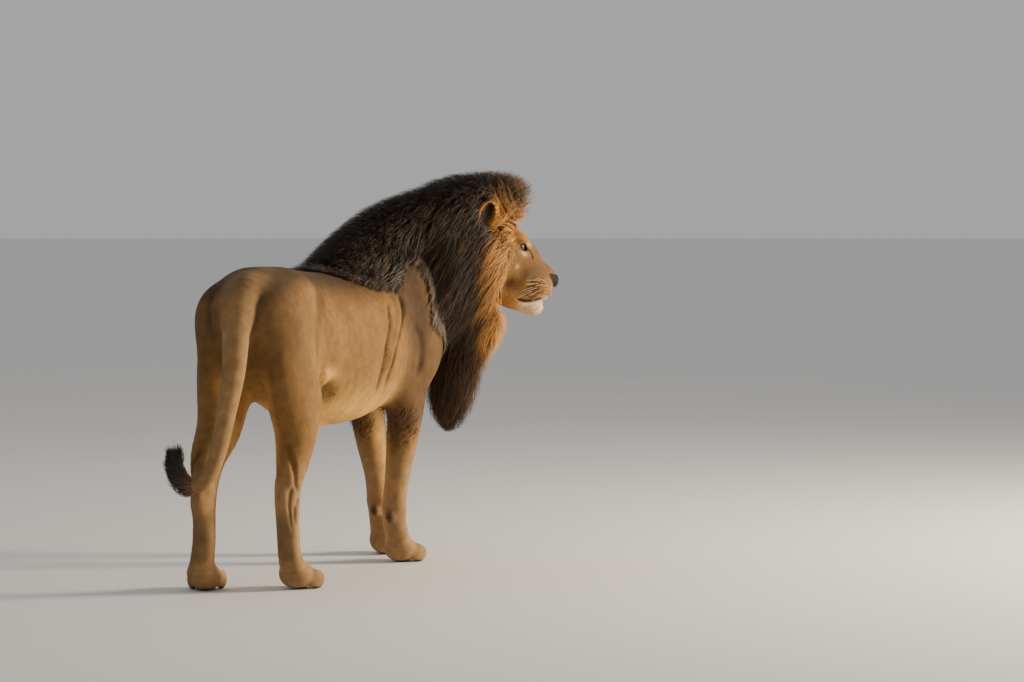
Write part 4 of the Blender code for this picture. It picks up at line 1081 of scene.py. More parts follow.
def relief(p, n, w):
    """Folds and features finer than the flesh: how far the skin stands out, in metres."""
    q = head_frame(p)
    out = np.zeros(len(p))
    near = w[:, 7] > 0.3
    if near.any():
        m = q[near]
        mouth = mouth_dist(m)
        above = line_up(m)
        r = -0.0042 * np.exp(-(mouth / 0.0032) ** 2) * ramp(m[:, 1], 0.125, 0.140)
        r += 0.0030 * np.exp(-((above - 0.011) / 0.008) ** 2) * ramp(m[:, 1], 0.14, 0.17) * ramp(0.262 - m[:, 1], 0, 0.02)
        r += 0.0014 * nose_pad(m)
        r -= 0.0024 * np.exp(-(m[:, 0] / 0.0022) ** 2) * ramp(m[:, 1], 0.235, 0.24) * ramp(-m[:, 2], 0.046, 0.055) * ramp(m[:, 2], -0.10, -0.09)
        r -= 0.0014 * np.exp(-(tear_dist(m) / 0.004) ** 2)
        # brow, upper fold, lower lid and the bag under it
        r += 0.0046 * blob(m, (0.046, 0.100, 0.066), (0.024, 0.018, 0.0090))
        r -= 0.0034 * blob(m, (0.052, 0.106, 0.0520), (0.020, 0.016, 0.0035))
        r += 0.0016 * blob(m, (0.054, 0.106, 0.0470), (0.018, 0.016, 0.0030))
        r -= 0.0018 * blob(m, (0.054, 0.112, 0.0170), (0.018, 0.018, 0.0028))
        r += 0.0026 * blob(m, (0.056, 0.114, 0.0100), (0.018, 0.018, 0.0055))
        # hollow of the stop beside the bridge, cheek bone, hollow under it
        r -= 0.0060 * blob(m, (0.034, 0.148, 0.018), (0.014, 0.022, 0.017))
        r += 0.0036 * blob(m, (0.080, 0.085, -0.002), (0.020, 0.030, 0.014))
        r -= 0.0055 * blob(m, (0.066, 0.128, -0.050), (0.024, 0.024, 0.024))
        r -= 0.0022 * blob(m, (0.060, 0.168, -0.070), (0.024, 0.012, 0.024))
        r -= 0.0022 * np.exp(-(m[:, 0] / 0.007) ** 2) * ramp(m[:, 2], 0.03, 0.06)
        r += 0.0018 * blob(m, (0.020, 0.200, -0.018), (0.010, 0.035, 0.012))
        r -= 0.0008 * whisker_spots(m)
        out[near] += r
    side = np.sign(p[:, 0] - bend(p[:, 1]))
    a = np.abs(p[:, 0] - bend(p[:, 1]))
    y, z = p[:, 1], p[:, 2]
    # the folds, the hollow of the flank and the loose skin over it
    out -= folds(p)[0] * (1 - w[:, 7])
    out -= 0.022 * flank_hollow(p)
    out += 0.009 * flank_fold(p)
    c = y + 0.272 + 0.35 * (z - 0.62)
    out += 0.0085 * np.exp(-(c / 0.015) ** 2) * ramp(0.72 - z, 0.0, 0.05) * ramp(z, 0.50, 0.58) * ramp(a, 0.06, 0.12)
    # ribs, barely there under the loose skin
    out += 0.0005 * np.sin((y + 0.22 * z) / 0.052 * 6.283) * ramp(y, -0.16, -0.06) * ramp(0.20 - y, 0, 0.06) * ramp(z, 0.58, 0.66) * ramp(0.90 - z, 0, 0.1) * w[:, 0]
    # hollow between the heel tendon and the shin, and the tendons of the shanks
    for name in ("hr", "hl"):
        px, py, _ = PAWS[name]
        wy = py - 0.085
        own = w[:, NAMES.index("leg_" + name)]
        out += 0.0030 * np.exp(-((y - wy + 0.020) / 0.012) ** 2 - ((z - 0.345) / 0.05) ** 2) * own
    for name in ("fr", "fl"):
        px, py, _ = PAWS[name]
        own = w[:, NAMES.index("leg_" + name)]
        out -= 0.0030 * np.exp(-((y - (py - 0.075)) / 0.008) ** 2) * ramp(0.34 - z, 0, 0.06) * ramp(z, 0.19, 0.22) * own
        out += 0.0026 * np.exp(-((z - 0.190) / 0.016) ** 2) * own * ramp(np.abs(p[:, 0] - px), 0.012, 0.03)
    return out - 0.0085 * toe_lines(p, w)


# ---- finish the skin ---------------------------------------------------------------------------
skin_p = coords(flesh)
skin_n = gradient(skin_dist, skin_p, 0.0015)
skin_w = shares(skin_p)
lift = relief(skin_p, skin_n, skin_w)
lift = np.where(skin_p[:, 2] < 0.004, 0.0, lift)
skin_p = skin_p + skin_n * lift[:, None]
skin_col = skin_colour(skin_p, skin_n, skin_w)
tick("skin")


def add_colour(me, name, c):
    """A colour attribute on the points."""
    a = me.attributes.new(name, "FLOAT_COLOR", "POINT")
    rgba = np.ones((len(c), 4), np.float32)
    rgba[:, :3] = c
    a.data.foreach_set("color", rgba.ravel())


def add_value(me, name, v):
    a = me.attributes.new(name, "FLOAT", "POINT")
    a.data.foreach_set("value", np.ascontiguousarray(v, np.float32))


def put(name, me, mats):
    ob = bpy.data.objects.new(name, me)
    bpy.context.scene.collection.objects.link(ob)
    for m in (mats if isinstance(mats, (list, tuple)) else [mats]):
        me.materials.append(m)
    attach(ob, "root")
    return ob


flesh.vertices.foreach_set("co", to_world(skin_p).astype(np.float32).ravel())
flesh.update()
add_colour(flesh, "coat", skin_col)
qs = head_frame(skin_p)
add_value(flesh, "pad", nose_pad(qs) * ramp(skin_w[:, 7], 0.3, 0.6))
add_value(flesh, "legs", skin_w[:, 2:7].sum(1))
add_value(flesh, "face", skin_w[:, 7] * ramp(qs[:, 1], -0.05, 0.03))

# ---- triangles of the skin, to root the coat in -------------------------------------------------
flesh.calc_loop_triangles()
tri = np.empty(len(flesh.loop_triangles) * 3, np.int32)
flesh.loop_triangles.foreach_get("vertices", tri)
tri = tri.reshape(-1, 3)
corner = skin_p[tri]
area = np.linalg.norm(np.cross(corner[:, 1] - corner[:, 0], corner[:, 2] - corner[:, 0]), axis=1) * 0.5
mid = corner.mean(1)


def roots(density, seed):
    """Random places on the skin, so many to the square metre (an array by triangle)."""
    r = np.random.default_rng(seed)
    want = area * density
    n = np.floor(want + r.random(len(want))).astype(int)
    idx = np.repeat(np.arange(len(tri)), n)
    a, b = r.random(len(idx)), r.random(len(idx))
    flip = a + b > 1
    a[flip], b[flip] = 1 - a[flip], 1 - b[flip]
    c = 1 - a - b
    v = tri[idx]
    mixp = lambda arr: arr[v[:, 0]] * c[:, None] + arr[v[:, 1]] * a[:, None] + arr[v[:, 2]] * b[:, None]
    p, n_, w, col = mixp(skin_p), mixp(skin_n), mixp(skin_w), mixp(skin_col)
    n_ /= np.linalg.norm(n_, axis=1)[:, None]
    return p, n_, w, col, r


pieces = []


def strands(name, P, up, width, thick, col0, col1, uv, mat, most=195000, taper=0.8, shade=None, soft=0.75):
    """Closed tapering locks.  P: centre lines (n, k + 1, 3), the last point the tip; up: (n, 3) the side
    that carries the ridge; width, thick: (n,) half sizes at the root; colours at the root and the tip."""
    n, k1 = P.shape[:2]
    k = k1 - 1
    T = np.gradient(P, axis=1)[:, :k]
    T /= np.linalg.norm(T, axis=2)[:, :, None] + 1e-12
    S = np.cross(T, up[:, None, :])
    S /= np.linalg.norm(S, axis=2)[:, :, None] + 1e-12
    U = np.cross(S, T)
    t = np.arange(k) / k
    shape = (1 - t ** 1.6 * taper)[None, :] * np.where(t == 0, 0.62, 1.0)[None, :]
    w = width[:, None] * shape
    h = thick[:, None] * shape
    V = np.empty((n, 3 * k + 1, 3))
    V[:, 0:3 * k:3] = P[:, :k] - S * w[:, :, None] - U * 0.4 * h[:, :, None]
    V[:, 1:3 * k:3] = P[:, :k] + S * w[:, :, None] - U * 0.4 * h[:, :, None]
    V[:, 2:3 * k:3] = P[:, :k] + U * h[:, :, None]
    V[:, -1] = P[:, -1]
    f = [(0, 1, 2)]
    for j in range(k - 1):
        a, b = 3 * j, 3 * (j + 1)
        for i in range(3):
            m = (i + 1) % 3
            f += [(a + i, b + m, a + m), (a + i, b + i, b + m)]
    a = 3 * (k - 1)
    for i in range(3):
        f.append((a + i, 3 * k, a + (i + 1) % 3))
    f = np.array(f)
    along_t = np.append(np.repeat(t, 3), 1.0)
    around = np.append(np.tile([0.0, 1.0, 0.5], k), 0.5)
    per = max(1, most // len(f))
    for part, s in enumerate(range(0, n, per)):
        e = min(n, s + per)
        m = e - s
        verts = V[s:e].reshape(-1, 3)
        faces = (f[None] + (np.arange(m) * (3 * k + 1))[:, None, None]).reshape(-1, 3)
        me = world_mesh(name, to_world(verts), faces)
        tt = along_t[None, :, None]
        c = col0[s:e, None, :] * (1 - tt) + col1[s:e, None, :] * tt
        add_colour(me, "coat", c.reshape(-1, 3))
        layer = me.uv_layers.new(name="OFBake")
        u = uv[s:e, None, 0] + 0.003 * (around[None, :] - 0.5)
        v = uv[s:e, None, 1] + 0.003 * (along_t[None, :] - 0.5)
        at = np.stack([u, v], -1).reshape(-1, 2)[faces.ravel()]
        layer.data.foreach_set("uv", np.ascontiguousarray(at, np.float32).ravel())
        if shade is not None:
            # lit as the coat it lies in, and not each hair for itself
            geo = normals(me)
            own = np.repeat(turn(shade[s:e]), 3 * k + 1, axis=0)
            nv = own * soft + geo * (1 - soft)
            nv /= np.linalg.norm(nv, axis=1)[:, None] + 1e-9
            me.normals_split_custom_set_from_vertices(nv.astype(np.float32))
        ob = put(f"{name}_{part + 1}" if n > per else name, me, mat)
        pieces.append((ob.name, len(faces)))
    return V


def lay(p, n, flow, length, rise, k=2, droop=0.9, sink=0.0010):
    """Centre lines of short hair: out at the angle rise, then down along the body."""
    P = np.empty((len(p), k + 1, 3))
    P[:, 0] = p - n * sink
    for j in range(1, k + 1):
        s = rise * (1.0 - droop * (j - 0.5) / k * 1.5)
        d = flow + n * s[:, None]
        d /= np.linalg.norm(d, axis=1)[:, None]
        P[:, j] = P[:, j - 1] + d * (length / k)[:, None]
    return P


def jitter(v, n, r, amount):
    """Turns a direction a little, within the surface."""
    s = np.cross(n, v)
    a = r.normal(size=len(v)) * amount
    out = v * np.cos(a)[:, None] + s * np.sin(a)[:, None]
    return out / np.linalg.norm(out, axis=1)[:, None]


# ----------------------------------------------------------------------------------------------
# Materials
# ----------------------------------------------------------------------------------------------
def material(name):
    m = bpy.data.materials.new(name)
    m.use_nodes = True
    t = m.node_tree
    b = t.nodes["Principled BSDF"]
    return m, t, b


def node(t, kind, **values):
    n = t.nodes.new(kind)
    for key, val in values.items():
        if key in n.inputs:
            n.inputs[key].default_value = val
        else:
            setattr(n, key, val)
    return n


def attribute(t, name):
    return node(t, "ShaderNodeAttribute", attribute_name=name)


def streaks(t, scale, stretch, detail=3.0):
    """Noise drawn out along one axis: stretch holds the three axis scales."""
    co = t.nodes.new("ShaderNodeTexCoord")
    mp = t.nodes.new("ShaderNodeMapping")
    mp.inputs["Scale"].default_value = stretch
    t.links.new(co.outputs["Object"], mp.inputs["Vector"])
    nz = node(t, "ShaderNodeTexNoise", Scale=scale, Detail=detail, Roughness=0.6)
    t.links.new(mp.outputs["Vector"], nz.inputs["Vector"])
    return nz


def blend(t, fac, a, b):
    n = t.nodes.new("ShaderNodeMix")
    n.data_type = "FLOAT"
    t.links.new(fac, n.inputs[0])
    t.links.new(a, n.inputs[2])
    t.links.new(b, n.inputs[3])
    return n.outputs[0]


def span(t, value, lo, hi):
    n = t.nodes.new("ShaderNodeMapRange")
    n.inputs["To Min"].default_value = lo
    n.inputs["To Max"].default_value = hi
    n.inputs["From Min"].default_value = 0.25
    n.inputs["From Max"].default_value = 0.75
    t.links.new(value, n.inputs["Value"])
    return n.outputs[0]


def tint(t, colour, value):
    """Multiplies a colour by a number."""
    n = t.nodes.new("ShaderNodeVectorMath")
    n.operation = "SCALE"
    t.links.new(colour, n.inputs[0])
    t.links.new(value, n.inputs["Scale"])
    return n.outputs[0]


def short_coat():
    m, t, b = material("short_coat")
    col, pad, legs = attribute(t, "coat"), attribute(t, "pad"), attribute(t, "legs")
    body = streaks(t, 1.0, (420, 70, 260))
    down = streaks(t, 1.0, (420, 420, 60))
    hair = blend(t, legs.outputs["Fac"], body.outputs["Fac"], down.outputs["Fac"])
    soft = streaks(t, 1.0, (46, 26, 46), 4.0)
    shade = t.nodes.new("ShaderNodeMath")
    shade.operation = "MULTIPLY"
    t.links.new(span(t, hair, 0.82, 1.14), shade.inputs[0])
    t.links.new(span(t, soft.outputs["Fac"], 0.90, 1.09), shade.inputs[1])
    t.links.new(tint(t, col.outputs["Color"], shade.outputs[0]), b.inputs["Base Color"])
    pebble = node(t, "ShaderNodeTexVoronoi", Scale=420.0)
    co = t.nodes.new("ShaderNodeTexCoord")
    t.links.new(co.outputs["Object"], pebble.inputs["Vector"])
    high = blend(t, pad.outputs["Fac"], hair, pebble.outputs["Distance"])
    bump = node(t, "ShaderNodeBump", Strength=0.55, Distance=0.0016)
    t.links.new(high, bump.inputs["Height"])
    t.links.new(bump.outputs["Normal"], b.inputs["Normal"])
    rough = t.nodes.new("ShaderNodeMapRange")
    rough.inputs["To Min"].default_value = 0.80
    rough.inputs["To Max"].default_value = 0.60
    t.links.new(pad.outputs["Fac"], rough.inputs["Value"])
    t.links.new(rough.outputs[0], b.inputs["Roughness"])
    b.inputs["Specular IOR Level"].default_value = 0.14
    b.inputs["Sheen Weight"].default_value = 0.02
    b.inputs["Sheen Roughness"].default_value = 0.45
    return m


def hair(name, rough, spec, sheen, low=0.82, high=1.16):
    m, t, b = material(name)
    col = attribute(t, "coat")
    fine = streaks(t, 1.0, (260, 260, 120), 2.0)
    t.links.new(tint(t, col.outputs["Color"], span(t, fine.outputs["Fac"], low, high)), b.inputs["Base Color"])
    wave = t.nodes.new("ShaderNodeMapRange")
    wave.inputs["To Min"].default_value = rough - 0.08
    wave.inputs["To Max"].default_value = rough + 0.10
    t.links.new(fine.outputs["Fac"], wave.inputs["Value"])
    t.links.new(wave.outputs[0], b.inputs["Roughness"])
    bump = node(t, "ShaderNodeBump", Strength=0.35, Distance=0.0006)
    t.links.new(fine.outputs["Fac"], bump.inputs["Height"])
    t.links.new(bump.outputs["Normal"], b.inputs["Normal"])
    b.inputs["Specular IOR Level"].default_value = spec
    b.inputs["Sheen Weight"].default_value = sheen
    b.inputs["Sheen Roughness"].default_value = 0.4
    return m


SHORT, TUFTS = short_coat(), hair("tufts", 0.78, 0.14, 0.03)
LONG = hair("mane_hair", 0.58, 0.34, 0.12)
skin_ob = put("skin", flesh, SHORT)
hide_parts(*[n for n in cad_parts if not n.startswith("eye_")])


# ----------------------------------------------------------------------------------------------
# Short tufts over the whole body, smallest on the face and feet
# ----------------------------------------------------------------------------------------------
mq = head_frame(mid)
m_mane = -mane_dist(MANE, mid)                      # how deep each place lies under the mane
m_w = shares(mid)
is_head = m_w[:, 7] * ramp(mq[:, 1], -0.02, 0.06)
bare = (nose_pad(mq) > 0.2) | (mid[:, 2] < 0.006)
for s in (-1, 1):
    bare |= (eye_cut(mq, s) < 0.0030) & (mq[:, 0] * s > 0)
    bare |= NOSTRIL[s].dist(mid) < 0.002
bare |= (mouth_dist(mq) < 0.0040) & (mq[:, 1] > 0.13) & (m_w[:, 7] > 0.5)
m_ear = np.minimum(ear_dist(mid, 1), ear_dist(mid, -1)) < 0.003
open_ = (m_mane < 0.030) & ~bare

# body
dens = np.where(open_ & (is_head < 0.5) & ~m_ear, 10200.0, 0.0)
dens *= np.where(mid[:, 2] < 0.10, 2.0, 1.0)
p, n, w, col, r = roots(dens, 11)
flow = jitter(lie(p, n, w), n, r, 0.16)
feet = ramp(0.16 - p[:, 2], 0.0, 0.09)
length = (0.0140 - 0.0065 * feet) * r.uniform(0.7, 1.25, len(p))
rise = (0.13 - 0.01 * feet) * r.uniform(0.7, 1.3, len(p))
creased = np.clip(np.maximum(np.abs(folds(p)[0]) / 0.004, folds(p)[1]) + flank_hollow(p), 0, 1)
length *= 1.0 - 0.60 * creased
rise *= 1.0 - 0.50 * creased
tone = (1.0 + 0.045 * r.normal(size=len(p)))[:, None]
P = lay(p, n, flow, length, rise)
wide = (0.00155 - 0.0005 * feet) * r.uniform(0.7, 1.3, len(p))
strands("coat_body", P, n, wide, wide * 0.16, col * tone * 0.98, np.minimum(col * tone * 1.06, 0.9), unwrap(p, w), TUFTS, shade=n, soft=0.95)
tick(f"body tufts {len(p)}")

# face: tiny at the nose, longer up the forehead and back over the cheeks
dens = np.where(open_ & (is_head >= 0.5) & ~m_ear, 84000.0, 0.0)
p, n, w, col, r = roots(dens, 12)
q = head_frame(p)
flow = jitter(lie(p, n, w), n, r, 0.14)
back = ramp(0.17 - q[:, 1], 0.0, 0.10)
chin = ramp(-line_up(q), 0.006, 0.02) * ramp(q[:, 1], 0.14, 0.18)
length = (0.0046 + 0.0060 * back + 0.0100 * chin) * r.uniform(0.7, 1.3, len(p))
rise = (0.42 + 0.10 * back + 0.15 * chin) * r.uniform(0.6, 1.4, len(p))
tone = (1.0 + 0.09 * r.normal(size=len(p)))[:, None]
wide = (0.00060 + 0.00030 * back) * r.uniform(0.7, 1.3, len(p))
strands("coat_face", lay(p, n, flow, length, rise, sink=0.0004), n, wide, wide * 0.3, col * tone * 0.97, np.minimum(col * tone * 1.06, 0.9),
        unwrap(p, w), TUFTS, shade=n, soft=0.92)
tick(f"face tufts {len(p)}")


# ----------------------------------------------------------------------------------------------
# The mane: long locks rooted in the neck, and shorter ones that make its outer layers
# ----------------------------------------------------------------------------------------------
class Sampled:
    """A distance function read off a grid."""

    def __init__(self, fn, lo, hi, h):
        self.lo, self.h = np.asarray(lo, float), h
        self.n = np.ceil((np.asarray(hi) - self.lo) / h).astype(int) + 1
        ax = [self.lo[i] + h * np.arange(self.n[i]) for i in range(3)]
        g = np.stack(np.meshgrid(*ax, indexing="ij"), -1).reshape(-1, 3)
        self.a = fn(g).reshape(self.n)
        self.g = np.stack(np.gradient(self.a, h), -1)

    def read(self, arr, p):
        f = np.clip((p - self.lo) / self.h, 0, self.n - 1.001)
        i = f.astype(int)
        t = f - i
        out = 0
        for dx in (0, 1):
            for dy in (0, 1):
                for dz in (0, 1):
                    wgt = (t[:, 0] if dx else 1 - t[:, 0]) * (t[:, 1] if dy else 1 - t[:, 1]) * (t[:, 2] if dz else 1 - t[:, 2])
                    v = arr[i[:, 0] + dx, i[:, 1] + dy, i[:, 2] + dz]
                    out = out + (v * wgt[:, None] if v.ndim == 2 else v * wgt)
        return out

    def __call__(self, p):
        return self.read(self.a, p)

    def normal(self, p):
        g = self.read(self.g, p)
        return g / (np.linalg.norm(g, axis=1)[:, None] + 1e-9)


def hair_limit(p):
    return smin(mane_dist(MANE, p), body_dist(PARTS, p) - long_coat(p), 0.02)


OUTER = Sampled(hair_limit, (-0.34, -0.24, 0.40), (0.68, 1.06, 1.44), 0.020)
INNER = Sampled(lambda p: body_dist(PARTS, p), (-0.34, -0.24, 0.40), (0.68, 1.06, 1.44), 0.020)
tick("mane field")
NECK_BACK = -unit(AXIS["neck"].pts[-1] - AXIS["neck"].pts[0])


def mane_flow(p):
    """The way the mane falls: away from the face, back along the neck, and down."""
    q = head_frame(p)
    r = np.sqrt(q[:, 0] ** 2 + (q[:, 2] - 0.0) ** 2) + 1e-6
    radial = np.column_stack([q[:, 0] / r, np.full(len(q), -0.55), (q[:, 2] - 0.0) / r]) @ HEAD_ROT.T
    ring = ramp(q[:, 1], -0.16, 0.03) * ramp(-q[:, 2], -0.60, -0.20)
    chest = ramp(0.86 - p[:, 2], 0.0, 0.14)
    g = ring[:, None] * radial * 0.9 + (1 - ring)[:, None] * NECK_BACK * 0.95 * (1 - 0.85 * chest)[:, None]
    back = ramp(0.42 - p[:, 1], 0.0, 0.20)[:, None]
    g = g + back * np.array([0, -0.5, 0])
    down = 0.75 + 0.9 * chest - 0.35 * ring * ramp(q[:, 2], 0.0, 0.1)
    g = g + down[:, None] * np.array([0, 0, -1.0])
    wob = np.column_stack([waves(p, 0.10, 31), waves(p, 0.10, 32), waves(p, 0.10, 33)])
    return g + 0.16 * wob


def grow(p, n, length, aim, k, r, lift0=0.9, lift=0.0, crest=0.020):
    """Centre lines that leave the skin and then follow the mane; aim is how deep each tip ends."""
    P = np.empty((len(p), k + 1, 3))
    P[:, 0] = p
    step = length / k
    for j in range(k):
        c = P[:, j]
        m = OUTER.normal(c)
        depth = -OUTER(c)
        left = step * (k - j)
        g = mane_flow(c)
        t = g - (g * m).sum(1)[:, None] * m
        t /= np.linalg.norm(t, axis=1)[:, None] + 1e-9
        need = (depth - aim) / left
        top = ramp(m[:, 2], 0.25, 0.85)
        need = (depth - aim - crest * top) / left
        up = np.clip(need + lift * (j / k) + 0.30 * top * (j > 0), -0.35, 0.55 + 0.33 * top)
        d = t * np.sqrt(1 - up ** 2 * 0.98)[:, None] + m * up[:, None]
        if j == 0 and lift0 > 0:
            d = d + n * lift0
        d /= np.linalg.norm(d, axis=1)[:, None]
        P[:, j + 1] = c + d * step[:, None]
    return P


def clump(P, r, size, pull, wave=0.004):
    """Draws neighbouring locks towards shared tips, and gives each a slight wave of its own."""
    n, k1 = P.shape[:2]
    guides = r.choice(n, max(1, n // size), replace=False)
    tree = kdtree.KDTree(len(guides))
    midp = P[:, k1 // 2]
    for i, g in enumerate(guides):
        tree.insert(midp[g], i)
    tree.balance()
    near = np.array([tree.find(x)[1] for x in midp])
    G = P[guides[near]]
    t = (np.arange(k1) / (k1 - 1)) ** 1.4
    amt = r.uniform(*pull, n)
    far = np.linalg.norm(G[:, k1 // 2] - midp, axis=1)
    amt = amt * np.clip(1.3 - far / 0.03, 0, 1)
    Q = P + (G - P) * (amt[:, None] * t[None])[:, :, None]
    ph = r.uniform(0, 6.283, n)
    d1, d2 = unit_rows(r.normal(size=(n, 3))), unit_rows(r.normal(size=(n, 3)))
    for j in range(1, k1):
        s = j / (k1 - 1)
        Q[:, j] += (d1 * np.sin(ph + 4.5 * s)[:, None] + d2 * np.cos(ph * 1.7 + 3.1 * s)[:, None]) * wave * s
    return Q


def unit_rows(v):
    return v / (np.linalg.norm(v, axis=1)[:, None] + 1e-12)


def keep_in(P, most=0.012):
    """Shortens the locks that would stand out of the outline, and lifts those that sink in the neck."""
    for _ in range(5):
        out = np.max([OUTER(P[:, j]) for j in range(2, P.shape[1])], axis=0)
        over = out > most
        if not over.any():
            break
        P[over] = P[over, :1] + (P[over] - P[over, :1]) * 0.86
    for j in range(1, P.shape[1]):
        under = np.maximum(0.004 - INNER(P[:, j]), 0)
        P[:, j] = P[:, j] + INNER.normal(P[:, j]) * under[:, None]
    return P


m_depth = m_mane


def clear_of_ears(P):
    """Which locks leave both ears, and the bare face before the hairline, uncovered."""
    ok = np.ones(len(P), bool)
    for s in (-1, 1):
        o, A = EARS[s]
        for j in range(P.shape[1]):
            e = (P[:, j] - o) @ A / HEAD_SIZE
            box = np.sqrt((e[:, 0] / 0.066) ** 2 + ((e[:, 2] - 0.060) / 0.066) ** 2 + ((e[:, 1] - 0.050) / 0.085) ** 2)
            if j:
                ok &= box > 1.0
    for j in range(1, P.shape[1]):
        q = head_frame(P[:, j])
        limit = 0.082 + 0.034 * ramp(q[:, 2], 0.040, 0.10) + 0.060 * ramp(-q[:, 2], 0.13, 0.22)
        ok &= (q[:, 1] < limit + 0.012) | (q[:, 2] < -0.30)
    ok &= P[:, -1, 1] > -0.062 - 0.02 * np.sin(P[:, 0, 0] * 90.0)
    return ok


def mane_piece(name, P, root, width, col_in, rr, r):
    """Makes one layer of locks, without those that would cover the ears or the face."""
    ok = clear_of_ears(P)
    P, root, width, rr = P[ok], root[ok], width[ok], rr[ok]
    k = P.shape[1] - 1
    # the long locks start darker still at the skin: painted shade at the mane's roots
    c0 = mane_colour(root, np.full(len(P), col_in), rr) * (0.75 if col_in == 0 else 0.9)
    c1 = mane_colour(0.5 * root + 0.5 * P[:, (k + 1) // 2], np.ones(len(P)), rr)
    strands(name, P, OUTER.normal(P[:, (k + 1) // 2]), width, width * 0.55, c0, c1, unwrap(root, shares(root)), LONG,
            shade=OUTER.normal(P[:, (k + 1) // 2]), soft=0.60)
    tick(f"{name} {len(P)}")


# long locks from the skin
dens = np.where((m_depth > 0.012) & ~m_ear & ~bare, 26500.0, 0.0)
p, n, w, col, r = roots(dens, 21)
depth = -OUTER(p)
length = np.clip(depth * 1.25 + 0.05, 0.04, 0.30) * r.uniform(0.75, 1.25, len(p))
aim = np.where(r.random(len(p)) < 0.6, r.uniform(0.004, 0.035, len(p)), r.uniform(0.03, 0.10, len(p)))
P = grow(p - n * 0.002, n, length, np.minimum(aim, depth * 0.8), 4, r, 0.9, r.uniform(0.0, 0.3, len(p)))
P = keep_in(clump(P, r, 10, (0.3, 0.9), 0.007))
mane_piece("mane_long", P, p, 0.0020 * r.uniform(0.6, 1.4, len(p)), 0.0, r.random(len(p)), r)

# outer layers, level by level: depth of the roots, how many, length, how deep the tips end, half width
LAYERS = ((0.074, 5600, (0.08, 0.15), (0.030, 0.070), 0.0022, 3), (0.048, 12600, (0.07, 0.14), (0.012, 0.042), 0.0019, 3),
          (0.038, 13600, (0.07, 0.16), (-0.014, 0.024), 0.0012, 3))
for layer, (level, count, span_, aims, wide, k) in enumerate(LAYERS):
    v, quads = surface_nets(OUTER.a + level, OUTER.lo, OUTER.h)
    t3 = np.concatenate([quads[:, :3], quads[:, [0, 2, 3]]])
    c3 = v[t3]
    ar = np.linalg.norm(np.cross(c3[:, 1] - c3[:, 0], c3[:, 2] - c3[:, 0]), axis=1) * 0.5
    cm = c3.mean(1)
    ok = (INNER(cm) > 0.015) & (-mane_dist(MANE, cm) > level * 0.6)
    ar = ar * ok
    r = np.random.default_rng(41 + layer)
    pick = r.choice(len(t3), count, p=ar / ar.sum())
    a, b = r.random(count), r.random(count)
    fl = a + b > 1
    a[fl], b[fl] = 1 - a[fl], 1 - b[fl]
    c = c3[pick]
    p = c[:, 0] * (1 - a - b)[:, None] + c[:, 1] * a[:, None] + c[:, 2] * b[:, None]
    n = OUTER.normal(p)
    P = grow(p, n, r.uniform(*span_, count), r.uniform(*aims, count), k, r, 0.15, r.uniform(0.0, (0.5, 0.5, 0.9)[layer], count), (0.020, 0.020, 0.0)[layer])
    P = keep_in(clump(P, r, 8, (0.2, 0.9), 0.008))
    mane_piece(f"mane_outer_{layer + 1}", P, p - n * 0.02, wide * r.uniform(0.6, 1.4, count), 0.35, r.random(count), r)

# free wisps along the crest, from the withers over the top of the head to its front edge
v, quads = surface_nets(OUTER.a + 0.026, OUTER.lo, OUTER.h)
t3 = np.concatenate([quads[:, :3], quads[:, [0, 2, 3]]])
c3 = v[t3]
cm = c3.mean(1)
cn = OUTER.normal(cm)
cq = head_frame(cm)
ar = np.linalg.norm(np.cross(c3[:, 1] - c3[:, 0], c3[:, 2] - c3[:, 0]), axis=1) * 0.5
ar = ar * ramp(cn[:, 2], 0.30, 0.70) * (-mane_dist(MANE, cm) > 0.014) + ar * ramp(cq[:, 2], 0.10, 0.15) * ramp(cq[:, 1], 0.0, 0.05) * 0.8
ar = ar * (INNER(cm) > 0.010) * ramp(cm[:, 1], -0.08, 0.02)
r = np.random.default_rng(47)
count = 5200
pick = r.choice(len(t3), count, p=ar / ar.sum())
a, b = r.random(count), r.random(count)
fl = a + b > 1
a[fl], b[fl] = 1 - a[fl], 1 - b[fl]
p = c3[pick, 0] * (1 - a - b)[:, None] + c3[pick, 1] * a[:, None] + c3[pick, 2] * b[:, None]
n = OUTER.normal(p)
q = head_frame(p)
g = mane_flow(p)
t = unit_rows(g - (g * n).sum(1)[:, None] * n)
ahead = ramp(q[:, 1], -0.14, 0.02)[:, None]
t = unit_rows(t * (1 - 0.9 * ahead) + HEAD_ROT[:, 1] * 0.55 * ahead + np.array([0, 0, 0.5]) * ahead)
d = unit_rows(n * 1.0 + t * 0.55 + 0.22 * r.normal(size=n.shape))
ln = r.uniform(0.026, 0.052, count) * (1 + 0.25 * ahead[:, 0])
P = np.stack([p - n * 0.004, p + d * (ln * 0.5)[:, None], p + unit_rows(d + t * 0.45) * ln[:, None]], 1)
P = clump(P, r, 7, (0.2, 0.95), 0.003)
for _ in range(4):
    far = OUTER(P[:, 2]) > 0.016
    P[far] = P[far, :1] + (P[far] - P[far, :1]) * 0.85
mane_piece("mane_crest", P, p - n * 0.02, 0.0012 * r.uniform(0.6, 1.4, count), 0.3, r.random(count) * 0.8, r)

